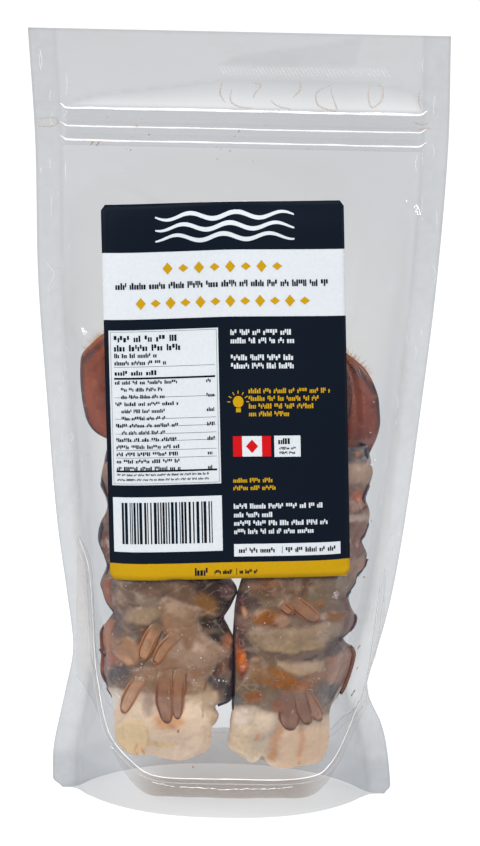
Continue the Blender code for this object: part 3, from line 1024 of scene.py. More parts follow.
def print_foot_and_head():
    """The white box and the gold foot's print, and the heading with its two chains of gold diamonds."""
    block("white", 46.7, 127.2, 86.5, 131.8)
    words("navy", 48.5, 63.4, 128.6, 130.5, 700, 1.0)
    words("navy", 66.0, 85.0, 128.6, 130.5, 701, 1.0)
    block("navy", 64.6, 128.3, 64.8, 130.8)
    words("navy", 31.9, 38.0, 135.7, 138.6, 710, 1.4)
    words("navy", 39.2, 46.0, 136.6, 138.2, 711, 0.7)
    block("navy", 47.4, 136.2, 47.6, 138.6)
    words("navy", 48.6, 55.6, 136.6, 138.2, 712, 0.7)
    words("navy", 4.7, 84.3, 28.9, 31.4, 713, 1.15)
    for start, end, v in GOLD_CHAINS:
        count = int((end - start) / CHAIN_PITCH)
        for k in range(count):
            u = start + (k + 0.5) * (end - start) / count
            tall = 2.3 if k % 2 == 0 else 1.5
            label_marks["gold"].append(((u - 1.9, v), (u, v - tall), (u + 1.9, v), (u, v + tall)))


print_panel()
print_notes()
print_foot_and_head()


RIBBONS = 3
RIBBON_FIRST = 4.9
RIBBON_PITCH = 3.9
RIBBON_ENDS = (20, 71.5)
RIBBON_SWING = 1.1
RIBBON_THICKNESS = 1.7
RIBBON_DELAY = 0.9
RIBBON_POINTS = 60


def ribbon(row):
    """A wavy white ribbon across the label's head, as a strip of quads."""
    u0, u1 = RIBBON_ENDS
    u = np.linspace(u0, u1, RIBBON_POINTS)
    wave = np.sin((u - u0) / (u1 - u0) * 6 * np.pi + row * RIBBON_DELAY)
    middle = RIBBON_FIRST + RIBBON_PITCH * row + RIBBON_SWING * wave
    half = RIBBON_THICKNESS / 2 * np.sin(np.pi * np.linspace(0.02, 0.98, RIBBON_POINTS)) ** 0.4
    for k in range(RIBBON_POINTS - 1):
        label_marks["white"].append(((u[k], middle[k] - half[k]), (u[k + 1], middle[k + 1] - half[k + 1]),
                                     (u[k + 1], middle[k + 1] + half[k + 1]), (u[k], middle[k] + half[k])))


for row in range(RIBBONS):
    ribbon(row)


def lamp_mark(u, v):
    """A small round mark with short rays beside the gold note."""
    turn = np.linspace(0, 2 * np.pi, 16, endpoint=False)
    ring = np.stack([u + 2.0 * np.cos(turn), v + 2.2 * np.sin(turn)], -1)
    for a, b in zip(ring, np.roll(ring, -1, 0)):
        label_marks["gold"].append((tuple(a), tuple(b), (u, v), (u, v)))
    for angle in np.radians(np.arange(180, 361, 30)):
        way = np.array([math.cos(angle), math.sin(angle)])
        side = np.array([-way[1], way[0]]) * 0.18
        start, end = np.array([u, v]) + way * 2.9, np.array([u, v]) + way * 4.1
        corners = (start - side, end - side, end + side, start + side)
        label_marks["gold"].append(tuple(tuple(corner) for corner in corners))
    block("gold", u - 0.9, v + 2.4, u + 0.9, v + 3.9)


lamp_mark(*LAMP_MARK)


def marks_mesh(name, marks, lift):
    """All the marks of one colour, each cut so that it follows the paper's dip."""
    verts, faces = [], []
    for corners in marks:
        a, b, c, d = (np.array(corner, float) for corner in corners)
        cuts = max(1, int(max(np.linalg.norm(b - a), np.linalg.norm(c - d)) / MARK_STEP))
        rows = max(1, int(np.linalg.norm(d - a) / MARK_STEP))
        share_u, share_v = np.meshgrid(np.linspace(0, 1, cuts + 1), np.linspace(0, 1, rows + 1))
        place = ((1 - share_v)[..., None] * ((1 - share_u)[..., None] * a + share_u[..., None] * b)
                 + share_v[..., None] * ((1 - share_u)[..., None] * d + share_u[..., None] * c))
        base = len(verts)
        verts += on_label(place[..., 0].ravel(), place[..., 1].ravel(), lift).tolist()
        number = base + np.arange((cuts + 1) * (rows + 1)).reshape(rows + 1, cuts + 1)
        faces += np.stack([number[1:, :-1], number[1:, 1:], number[:-1, 1:], number[:-1, :-1]],
                          -1).reshape(-1, 4).tolist()
    mesh = bpy.data.meshes.new(name)
    mesh.from_pydata([[c * MM for c in v] for v in verts], [], faces)
    return mesh


for colour, material, lift in (("white", WHITE_PAPER, 0.05), ("navy", NAVY_INK, 0.09),
                               ("gold", GOLD_INK, 0.05), ("red", RED_INK, 0.08)):
    name = f"label_print_{colour}"
    add_piece(name, marks_mesh(name, label_marks[colour], lift), material)

# The lobster tails: the belly side that faces the front film
# Each tail lies belly out, its cut end down. The belly is a skin of soft membrane and cross bars between
# the shell's side lobes, frozen with meat juice, and below it the white meat bulges out of the first ring.
# Outlines are (x, z) in mm down each side; the colour patches are placed by the photograph's pixels.
BELLY_GAP = 1.7
BELLY_TOP = 141.0
BELLY_BOTTOM = 18.5
BELLY_STEP = 0.42
TAILS = {
    "left": {
        "left": ((-46, 141), (-46.5, 137.6), (-48.6, 127.2), (-48.2, 123.4), (-46.3, 119.2), (-46.3, 114.6),
                 (-48.8, 108.7), (-49.1, 102.9), (-46.8, 97.2), (-46, 93.3), (-48.1, 87.3), (-47.5, 84.7),
                 (-46.1, 80.6), (-43.9, 77.8), (-43.0, 76.4), (-44.9, 73.2), (-46.6, 70.1), (-47.6, 67.1),
                 (-47.8, 63.0), (-47.7, 59.7), (-46.7, 58.9), (-47, 55.1), (-47, 51.4), (-45.3, 48.7),
                 (-45.2, 46.3), (-43.2, 44.8), (-42.4, 40), (-42.2, 34.6), (-41.8, 26.6), (-39.9, 21.5),
                 (-38, 18)),
        "right": ((-3, 141), (-1, 128), (-3, 119), (-0.5, 108), (-2, 97), (-3.2, 91.1), (0.6, 89.3),
                  (3.2, 87), (2.2, 83.8), (0.7, 80.5), (-1.4, 77.1), (-2.5, 75.9), (-0.6, 73.7),
                  (1.2, 70.4), (2.5, 67.8), (2.7, 61.2), (2.6, 51.3), (1.9, 46.4), (-2.2, 44.6), (-4.0, 43),
                  (-2.6, 40), (-3.4, 37), (-5.4, 33.6), (-5.2, 27.4), (-6.2, 22.4), (-8, 18)),
        "hem": ((-43, 24.5), (-39.5, 23.4), (-34.1, 22.4), (-28.4, 23.2), (-22.7, 22.2), (-16.2, 21.9),
                (-11, 23.6), (-5, 25.2)),
        "rings": ((44.5, 60), (58, 77), (75.4, 93), (91, 110), (108, 125), (123, 141)),
        "base": (120, 100, 84),
    },
    "right": {
        "left": ((5.5, 141), (4.5, 125), (7, 115), (5, 105), (6.5, 97), (5.1, 91.3), (4.0, 87.4), (3.0, 82.7),
                 (2.4, 76.8), (2.1, 69.4), (2.3, 65.1), (2.6, 59.2), (2.6, 50), (2.2, 46), (2.4, 40.5),
                 (1.7, 35.5), (1.1, 24.6), (3, 21), (5, 17)),
        "right": ((51, 141), (52.6, 134), (53.3, 130.2), (51.4, 123.6), (50.8, 120.5), (52.6, 114.8),
                  (51.1, 107.8), (49.7, 105.1), (51.8, 99.3), (51.0, 94.5), (48.4, 92), (47.9, 89.5),
                  (46.2, 87.1), (45, 85.2), (46.2, 80.2), (48.3, 75.2), (47.6, 71.9), (45.4, 69.6),
                  (41.8, 68.4), (44.5, 66.1), (47.3, 61.7), (48.3, 58.6), (48.1, 55.3), (47.4, 51.5),
                  (46.7, 48.4), (45.3, 44.4), (43.0, 42.4), (39.6, 40), (39.4, 32.4), (39.2, 24.4),
                  (37.4, 19.5), (35, 17)),
        "hem": ((1, 24.6), (5.7, 23.6), (10.3, 21.6), (12.5, 22.6), (14.5, 22.8), (17.2, 20.4),
                (22.9, 18.8), (28.6, 19.2), (36.2, 19.8), (39, 22)),
        "rings": ((43, 69), (67.4, 87), (85, 98), (96, 112), (110, 126), (124, 141)),
        "base": (126, 108, 90),
    },
}

# Belly patches, in the order they lie on each other: kind, place, colour, rise in mm, edge softness.
# A blob is (x, y, half width, half height, turn), an area is its corners, a line its points and half
# width. All are pixels of the photograph.
# A few patches are painted highlights, and one is a painted shadow; each is marked where it stands.
LEFT_PATCHES = (
    ("area", ((133, 577), (190, 577), (196, 590), (192, 604), (175, 598), (160, 594), (140, 592), (131, 586)),
     (114, 93, 76), 0.2, 5),
    ("area", ((186, 577), (224, 577), (233, 590), (231, 605), (222, 614), (206, 604), (196, 592)),
     (64, 49, 41), 0, 4),
    ("area", ((111, 578), (134, 578), (130, 592), (112, 592)), (122, 104, 84), 0.3, 4),
    ("blob", (115, 586.5, 3.4, 3.4, 0), (86, 82, 84), 0.3, 1.6),
    ("line", ((119.5, 584), (122.5, 587.5), 0.8), (176, 112, 60), 0.2, 0.8),
    ("area", ((99, 585), (104, 580), (110, 577), (112.5, 580), (111, 592), (110, 603), (112.5, 611),
              (107, 608), (103, 598)), (150, 92, 60), 0.9, 1.2),
    ("line", ((99.3, 585), (102, 594), (105.5, 602), (110, 609), 0.8), (58, 42, 48), 0, 0.8),
    ("blob", (100.4, 586, 1.1, 1.7, 0), (212, 140, 88), 0.2, 0.6),
    # Painted highlight: a small glint at the foot of the lobe's rim.
    ("blob", (109.4, 608, 0.8, 1.0, 0), (226, 182, 142), 0.2, 0.5),
    ("area", ((135, 594), (150, 595), (163, 599), (160, 606), (146, 606), (134, 604)),
     (140, 126, 112), 0.4, 3),
    ("area", ((113, 600), (134, 602), (138, 606), (118, 610)), (122, 100, 80), 0.3, 3),
    ("line", ((129, 606), (138, 605.5), 0.7), (70, 66, 58), -0.4, 0.8),
    ("blob", (206, 603, 12, 9, 30), (132, 96, 56), 0.3, 5),
    ("line", ((203, 617), (209, 613), (214, 608), 1.0), (160, 115, 60), 0.3, 1.0),
    ("line", ((235.5, 590), (233, 598), (229, 606), (223, 612), 1.8), (42, 33, 38), 0.2, 1.2),
    ("blob", (228.5, 590.5, 7.5, 6.2, 0), (100, 75, 73), 1.0, 0.8),
    # Painted highlight: the lighter lower edge of the dark lobe.
    ("line", ((221, 595), (226, 596.7), (232, 595), 0.6), (156, 134, 124), 0.4, 0.6),
    ("area", ((112, 613), (124, 610), (127, 622), (122, 632), (114, 628), (106, 622)), (106, 92, 86), 0.2, 3),
    ("blob", (142, 616, 17, 9, -8), (164, 145, 118), 1.4, 3.5),
    # Painted shadow: the amber band below the pale lobe.
    ("blob", (147, 632, 9, 6, 0), (122, 88, 60), -0.4, 3),
    ("line", ((131, 628), (137, 636), (142, 643), 2.2), (100, 90, 84), -0.2, 2),
    ("area", ((110, 615), (115, 620), (113, 632), (114, 645), (110, 652), (104, 655), (100, 650), (99, 640),
              (101.5, 630), (105, 621)), (168, 108, 66), 0.7, 2.2),
    ("line", ((112, 614), (105, 624), (101, 636), (100, 648), 0.7), (66, 46, 50), 0, 0.7),
    ("area", ((114, 638), (125, 636), (134, 641), (141, 650), (140, 660), (134, 664), (124, 660), (113, 652)),
     (166, 127, 92), 0.7, 2.5),
    ("area", ((113, 650.5), (118, 653), (127, 657), (134, 662), (128, 665), (120, 661.5), (115, 656)),
     (194, 153, 117), 0.9, 0.8),
    ("line", ((115.5, 642.5), (121, 639.5), 0.9), (98, 98, 78), 0, 0.9),
    ("blob", (102.5, 652.5, 1.7, 4.8, 0), (60, 40, 40), 0.2, 0.7),
    ("area", ((105, 654), (113, 652.5), (119, 660), (118, 668), (110, 668), (106, 662)),
     (158, 94, 62), 0.4, 1.4),
    ("area", ((102, 659), (107, 660), (110, 668), (108, 676), (103, 678), (101, 668)),
     (138, 104, 98), 0.5, 1),
    ("blob", (108.5, 668, 1.5, 1.0, 30), (216, 166, 134), 0.3, 0.6),
    ("area", ((112, 664), (125, 664), (130, 672), (124, 680), (112, 682), (108, 676)),
     (86, 76, 70), -0.3, 2.5),
    ("blob", (120.8, 664, 1.3, 1.0, 0), (222, 150, 100), 0.3, 0.6),
    ("area", ((132, 668), (160, 666), (205, 680), (208, 690), (200, 701), (133, 692)),
     (150, 122, 99), 0.4, 3),
    ("area", ((198, 618), (206, 617), (214, 618), (221, 616), (225, 622), (229, 630), (228, 640), (226, 647),
              (214, 643), (203, 640), (199.5, 635), (197, 626)), (64, 52, 42), -0.5, 0.8),
    ("area", ((222, 640), (228, 633), (233, 637), (233, 648), (230, 652), (226, 650), (223, 646)),
     (152, 102, 72), 0.6, 1.5),
    ("blob", (231, 640, 1.5, 2.2, 0), (218, 130, 58), 0.3, 0.8),
    ("area", ((215, 664), (221, 657), (228, 655), (233, 660), (233, 677), (226, 679), (218, 677), (209, 679)),
     (108, 79, 64), 0.2, 1.5),
    ("line", ((219.5, 659), (217, 668), (215, 674), 1.0), (58, 47, 44), -0.3, 0.8),
    ("line", ((225, 660), (223, 668), (224, 675), 0.8), (150, 104, 76), 0.3, 0.8),
    ("line", ((236, 641), (234, 655), (232, 670), (230.5, 688), (228, 702), 3.0), (46, 32, 42), -0.2, 1.4),
    ("area", ((208, 676), (226, 675), (231, 690), (212, 692), (204, 685)), (86, 78, 76), -0.2, 1.5),
    ("blob", (205, 685.5, 2.2, 4.2, 30), (128, 84, 52), 0.6, 0.9),
    ("area", ((160, 603), (163, 600), (168.5, 598.5), (174, 600), (181, 604.5), (191.5, 607.5),
              (197.5, 607.5), (201, 610.5), (200, 614), (197.3, 620), (196.8, 626.5), (199.2, 634),
              (201, 639), (210.6, 643), (219, 646.5), (228, 650.5), (226, 654.5), (220, 658), (215.5, 665),
              (210, 671.5), (208, 678), (197, 680), (187.7, 676), (184, 672.5), (176, 669), (168.5, 669),
              (163, 671.5), (158, 668), (151, 661), (160, 650), (168, 640), (166, 630), (160, 622),
              (158, 612)),
     (150, 120, 96), 0.7, 1.8),
    ("blob", (198, 657, 20, 10, -10), (168, 144, 126), 0.3, 4),
    ("blob", (178, 611, 13, 7, 15), (172, 148, 124), 0.1, 4),
    ("line", ((161, 602), (168, 598.5), (181, 604.5), (191.5, 607.5), (200, 611), (197, 621), (200, 635),
              (211, 643), (228, 651), 2.2), (172, 150, 132), 0, 2.6),
    ("line", ((228, 652), (217, 662), (208, 677), (196, 681), (187, 677), 2.0), (168, 146, 130), 0, 2.6),
    ("area", ((196, 641), (206, 647), (204, 653), (192, 650)), (190, 168, 152), 0.1, 2.6),
    ("area", ((172, 644), (182, 640), (186, 650), (174, 660), (166, 656)), (176, 152, 132), 0.1, 3),
    ("blob", (166, 605.5, 2.8, 2.0, 0), (160, 150, 116), 0, 1.4),
    ("blob", (170, 627, 8, 9, 0), (164, 126, 98), 0.2, 3),
    ("line", ((197.5, 609), (206, 612), (215, 614), 0.7), (178, 152, 132), 0.3, 0.8),
    ("area", ((103, 692), (113, 689), (130, 692), (150, 694), (200, 695), (217, 692), (220, 712), (214, 722),
              (212, 752), (196, 758), (165, 762), (118, 758), (112, 740), (110, 710)),
     (210, 190, 166), 0.2, 2.4),
    ("blob", (115, 698, 9, 9, 0), (208, 202, 192), 0.3, 4),
    ("area", ((150, 749), (212, 748), (214, 757), (165, 762), (146, 758)), (208, 188, 168), 0, 3),
    ("blob", (149, 704, 6, 11, 0), (164, 144, 126), 0, 4),
    ("blob", (170, 721, 15, 9, 0), (194, 148, 106), 0, 5),
    ("blob", (131, 737, 17, 18, 0), (224, 200, 158), 0.6, 2.6),
    ("line", ((133, 719), (140, 720.5), (146, 727), (148.5, 736), (147, 745), 0.7), (198, 168, 112), 0, 0.8),
    ("line", ((122, 749), (127, 753), (136, 755), 0.8), (212, 136, 50), 0.2, 0.7),
    ("line", ((141, 748), (144, 754), 0.8), (202, 124, 42), 0.2, 0.7),
    ("line", ((136.5, 744), (134.5, 750), (137, 754.5), 0.6), (212, 140, 56), 0.2, 0.6),
    ("blob", (179.2, 731.2, 1.2, 1.8, 0), (126, 54, 26), 0.3, 0.5),
    ("line", ((150, 743), (160, 746), (171, 745), 2.6), (198, 172, 130), -0.2, 2),
    ("blob", (203, 690, 10, 7, 0), (160, 140, 118), 0, 3),
    ("area", ((202, 694), (216, 694), (219, 706), (216, 724), (208, 720), (202, 706)),
     (184, 164, 138), 0.5, 1.5),
    ("line", ((202, 699), (204, 706), (202, 716), 0.6), (156, 130, 100), 0, 0.7),
    ("blob", (213, 718, 5, 7, 0), (178, 154, 124), 1.0, 1),
    ("blob", (105.5, 686, 3, 6, 0), (124, 108, 102), 0.2, 2),
    ("area", ((98, 430), (110, 430), (110, 456), (100, 456)), (132, 104, 88), 0.3, 2),
    ("area", ((98, 458), (112, 458), (112, 482), (98, 482)), (146, 122, 104), 0, 3),
    ("area", ((98, 486), (112, 486), (112, 506), (99, 506)), (138, 86, 58), 0.5, 2),
    ("line", ((99, 508), (112, 508), 1.6), (58, 42, 44), -0.3, 1.4),
    ("area", ((96, 514), (112, 512), (112, 530), (96, 530)), (124, 100, 86), 0, 3),
    ("area", ((96, 532), (112, 530), (112, 562), (96, 562)), (112, 70, 54), 0.5, 2),
    ("line", ((97, 534), (99, 548), (102, 562), 1.0), (62, 44, 54), 0.2, 1),
    ("line", ((98, 568), (112, 566), 2.0), (66, 50, 48), -0.3, 1.6),
)
RIGHT_PATCHES = (
    ("area", ((243, 577), (300, 577), (330, 577), (328, 597), (300, 598), (262, 598), (246, 592)),
     (104, 80, 60), 0.2, 4),
    ("area", ((246, 578), (266, 578), (262, 592), (250, 593)), (122, 92, 72), 0.3, 3),
    ("blob", (271, 582, 10, 5, 0), (132, 88, 52), 0.2, 4),
    ("area", ((308, 578), (357, 578), (352, 592), (320, 592)), (134, 118, 102), 0.3, 4),
    ("blob", (243, 595, 6, 4, 0), (62, 48, 50), 0.4, 2),
    ("area", ((240, 597), (255, 597), (262, 605), (250, 612), (240, 606)), (86, 72, 66), 0, 2.5),
    ("area", ((236, 600), (243, 597), (248, 610), (249, 622), (246, 636), (238, 640), (234, 624)),
     (92, 62, 60), 0.6, 1.8),
    ("line", ((238, 598), (235.3, 613), (234.3, 632), 1.3), (84, 70, 82), 0, 1.0),
    # Painted highlight: a golden-white glint on the dark side lobe.
    ("blob", (244, 612, 2.0, 5, -12), (214, 166, 116), 0.3, 1.8),
    ("blob", (241, 622.5, 1.0, 1.6, 0), (68, 42, 44), -0.3, 0.6),
    ("blob", (318, 596, 12, 9, 0), (122, 110, 90), 0.2, 3),
    ("blob", (320, 603, 5, 3, 0), (152, 100, 60), 0.2, 2),
    ("area", ((252, 626), (290, 630), (330, 624), (346, 622), (338, 636), (290, 638), (254, 634)),
     (157, 139, 119), 0.6, 3),
    ("blob", (267, 618, 16, 7.5, 0), (146, 92, 36), 0.6, 2.6),
    ("line", ((256, 622), (268, 625), (278, 624), 0.8), (120, 74, 36), -0.2, 0.8),
    ("blob", (283.5, 621, 7.5, 6.5, 0), (162, 132, 110), 0.6, 2.6),
    ("blob", (336, 616, 10.5, 5, 0), (146, 98, 48), 0.5, 2),
    ("blob", (323.5, 618, 4.5, 3.6, 0), (166, 146, 134), 0.8, 1),
    ("area", ((248, 633), (290, 630), (325, 632), (334, 640), (322, 650), (300, 654), (280, 654), (262, 648)),
     (154, 136, 112), 0.6, 3),
    ("line", ((270, 648), (290, 652), (310, 649), 2.6), (166, 150, 118), 0.2, 2.4),
    ("line", ((322, 632), (330, 637), (336, 641), 0.7), (92, 76, 62), -0.4, 0.8),
    ("blob", (322, 638, 7, 5, 20), (156, 142, 128), 0.2, 3),
    ("area", ((236, 638), (245, 638), (258, 650), (262, 658), (250, 664), (243, 656)), (86, 73, 61), -0.3, 2),
    ("area", ((326, 642), (338, 638), (347, 648), (338, 656), (325, 658)), (94, 74, 64), -0.2, 2.5),
    ("area", ((262, 652), (325, 652), (318, 662), (300, 664), (275, 662)), (121, 102, 88), -0.3, 3),
    ("line", ((303, 661.5), (311, 661), (317, 656.5), 1.1), (72, 62, 58), -0.5, 1.2),
    ("area", ((276, 661), (290, 664), (310, 664), (325, 661), (322, 670), (310, 675), (296, 676), (284, 671)),
     (186, 166, 140), 0.6, 2.4),
    ("blob", (297, 671.5, 1.6, 1.6, 0), (226, 152, 84), 0.2, 0.8),
    ("area", ((250, 668), (268, 667), (270, 680), (258, 684), (248, 678)), (146, 112, 76), 0.3, 2.5),
    ("blob", (255, 661.5, 4, 2.5, 0), (176, 132, 82), 0.4, 1.4),
    ("area", ((268, 667), (280, 668), (290, 674), (292, 682), (284, 686), (272, 676)),
     (152, 102, 52), 0.3, 4),
    ("area", ((290, 678), (308, 682), (312, 690), (296, 692)), (152, 94, 46), 0.3, 3),
    ("area", ((306, 672), (324, 670), (328, 676), (318, 683), (306, 682)), (148, 104, 66), 0.3, 3),
    ("area", ((328, 660), (338, 656), (350, 652), (355, 660), (354, 676), (350, 690), (338, 690), (326, 680)),
     (172, 126, 98), 0.6, 3.2),
    ("line", ((348, 648), (353, 657), (354, 668), (352, 680), (349, 690), 1.8), (204, 108, 56), 0.2, 1.2),
    ("line", ((341, 641), (348, 649), (352, 656), 1.8), (88, 58, 54), 0.3, 1.4),
    ("line", ((340, 595), (345, 603), (349, 613), (352, 620), 2.4), (82, 57, 54), 0.3, 1.6),
    ("line", ((343, 598), (347, 607), (351, 616), 0.6), (126, 48, 38), 0.2, 0.6),
    # Painted highlight: a glint of ice on the lobe's edge.
    ("blob", (335.5, 595.5, 2.6, 4.2, 0), (204, 196, 204), 0.9, 0.8),
    ("area", ((345, 620), (352, 617), (358, 622), (358, 632), (350, 637), (344, 634)),
     (120, 80, 64), 0.3, 1.2),
    ("line", ((338, 637), (343, 636), (348, 635), 1.6), (66, 56, 56), -0.2, 1.2),
    ("area", ((235, 640), (239, 642), (244, 655), (250, 666), (247, 668), (244.5, 674), (242, 682),
              (239.5, 673), (236, 660)), (178, 92, 10), 0.5, 0.8),
    ("blob", (242.5, 659, 2.4, 4, 0), (224, 124, 20), 0.3, 1.2),
    ("area", ((239.8, 671), (245.5, 669), (242, 682)), (108, 42, 30), 0.1, 1),
    ("area", ((234, 640), (240, 641), (243, 650), (238, 650)), (92, 40, 26), 0.1, 1.6),
    ("area", ((260, 680), (300, 682), (312, 680), (312, 687), (290, 690), (262, 686)), (150, 98, 48), 0.3, 4),
    ("area", ((234, 683), (246, 680), (268, 684), (280, 694), (270, 704), (252, 706), (235, 702)),
     (124, 108, 88), 0.3, 2.2),
    ("line", ((236, 690), (242, 683.5), (246, 677), 0.5), (168, 152, 122), 0.3, 0.6),
    ("line", ((242, 683.5), (248, 688), (254, 694), 0.5), (168, 152, 122), 0.3, 0.6),
    ("blob", (237, 698, 7, 6, 0), (108, 108, 106), 0, 3),
    ("blob", (254, 697, 10, 6.5, 0), (146, 96, 54), 0.4, 3.4),
    ("area", ((231, 706), (250, 706), (272, 712), (300, 725), (331, 713), (333, 730), (332, 768), (300, 770),
              (285, 771), (268, 768), (262, 755), (252, 765), (238, 757), (226, 752)),
     (182, 167, 147), 0.2, 2.2),
    ("area", ((270, 700), (284, 696), (290, 706), (282, 713), (274, 710)), (134, 88, 56), 0.4, 3.4),
    ("blob", (243, 737, 11, 14, 0), (198, 180, 152), 0.3, 5),
    ("area", ((277, 732), (331, 722), (331, 768), (277, 769)), (212, 186, 158), 0, 5),
    ("blob", (242, 716, 10, 9, 0), (206, 192, 176), 0.5, 4),
    ("blob", (264, 722, 9, 11, 0), (206, 188, 166), 0.6, 4),
    ("line", ((279, 729), (276, 744), (271, 757), 4.5), (190, 142, 104), -0.5, 4),
    ("line", ((303, 729), (301.5, 742), (299.5, 757), 2.8), (192, 148, 114), -0.4, 3.2),
    ("blob", (257.7, 736.5, 1.4, 3.0, 15), (206, 126, 26), 0.3, 0.5),
    ("line", ((270.5, 751), (270, 759), 0.9), (208, 140, 66), 0.2, 0.8),
    ("blob", (299.5, 763.5, 0.9, 2.0, 10), (206, 124, 48), 0.2, 0.6),
    ("area", ((322, 686), (338, 682), (342, 692), (336, 702), (326, 700)), (98, 87, 82), -0.3, 2),
    ("area", ((340, 680), (353, 680), (350, 692), (347, 702), (341, 702), (338, 696)), (134, 92, 86), 0.9, 1),
    ("line", ((352, 682), (349, 694), (346, 702), 0.8), (84, 54, 70), 0.1, 0.8),
    ("line", ((340, 691), (336, 697), (333, 705), 1.5), (206, 202, 196), 0.9, 0.9),
    ("line", ((338, 706), (337, 713), (334, 716), 0.7), (204, 200, 194), 0.5, 0.7),
    ("area", ((344, 440), (372, 440), (374, 462), (346, 464)), (98, 92, 94), 0.2, 3),
    ("blob", (357.5, 455.5, 2.6, 2.8, 0), (196, 104, 36), 0.4, 0.9),
    ("blob", (371, 461, 5, 8, 0), (176, 170, 168), 1.0, 2),
    ("area", ((346, 464), (374, 464), (374, 482), (346, 484)), (170, 148, 130), 0.6, 3),
    ("area", ((346, 487), (372, 487), (374, 508), (346, 512)), (146, 106, 90), 0.5, 2.4),
    ("blob", (357, 497, 4.4, 4.6, 0), (186, 94, 28), 0.3, 1.2),
    ("line", ((346, 512), (358, 511), (368, 504), (373, 494), 1.7), (84, 50, 50), 0.3, 1.4),
    ("area", ((346, 514), (374, 514), (376, 522), (346, 520)), (176, 162, 152), -0.2, 2),
    ("area", ((346, 520), (372, 522), (376, 534), (370, 552), (346, 556)), (132, 98, 88), 0.6, 2.4),
    ("line", ((372, 522), (374, 532), (368, 548), (358, 556), 1.3), (84, 56, 58), 0.2, 1.2),
    ("area", ((346, 558), (372, 556), (366, 578), (346, 578)), (152, 130, 112), 0.2, 3),
    ("blob", (365, 566, 3, 6, 0), (168, 112, 70), 0.3, 1.5),
)
FILM_VEIL = 0.018
FLESH_GAIN = np.array((0.98, 0.87, 0.80))
# Painted light: the meat, and the belly low down, are painted lighter by these gains where less light reaches
# them.
MEAT_PAINTED_LIGHT = np.array((1.50, 1.58, 1.66))
DARKEST = 0.001
BRIGHTEST = 0.9
BELLY_ROLL = 6.0
BELLY_ACROSS = 50
BELLY_CLEARANCE = 0.4
MOST_RISE = 1.35
HIDDEN_BARS = (92, 97)
BAR_PITCH = 16.0
MEAT_SHOWS = (50, 40)
# Painted light: how much lighter the belly is painted along its bottom hem, against the shade there.
HEM_PAINTED_LIGHT = 0.45
GLAZE_TONE = (176, 154, 136)
THREAD_TONE = (206, 190, 174)


def flesh(red, green, blue):
    """What a surface inside the pouch is painted so that it shows as this colour through the film."""
    return np.clip((np.array(linear(red, green, blue)) - FILM_VEIL) * FLESH_GAIN, DARKEST, BRIGHTEST)


def towards(tone, colour, share):
    """A painted tone drawn towards a colour by a share at each place."""
    return tone + (colour - tone) * share[..., None]


def side_at(tail, side, z):
    """The x of a tail's left or right outline at height z."""
    outline = smooth_chain(TAILS[tail][side], 0.7)[::-1]
    return np.interp(z, np.maximum.accumulate(outline[:, 1]), outline[:, 0])


def behind_film(x, y, z, gap):
    """The y moved back, where it has to be, to lie a gap behind the front film."""
    return np.maximum(y, film_y(-1, x, z) + gap)


def belly_base(x, z, left, right):
    """The belly's y before its relief: just inside the film, rolling back to the shell's rim at each side."""
    half = (right - left) / 2
    from_side = np.clip(np.minimum(x - left, right - x), 0, BELLY_ROLL)
    roll = BELLY_ROLL - np.sqrt(np.maximum(BELLY_ROLL ** 2 - (BELLY_ROLL - from_side) ** 2, 0))
    middle = (left + right) / 2
    inner = middle + np.clip(x - middle, -half + 4, half - 4)
    return film_y(-1, inner, z) + BELLY_GAP + roll * 0.75


BELLY_FIELDS = {}


def belly_tone(tail, x, z):
    """The colour already painted on a tail's belly at each place."""
    z_rows, left, right, colour = BELLY_FIELDS[tail]
    row = np.clip(np.searchsorted(z_rows, z), 0, len(z_rows) - 1)
    share = (x - left[row]) / (right[row] - left[row])
    column = np.clip((share * (colour.shape[1] - 1)).round().astype(int), 0, colour.shape[1] - 1)
    return colour[row, column]


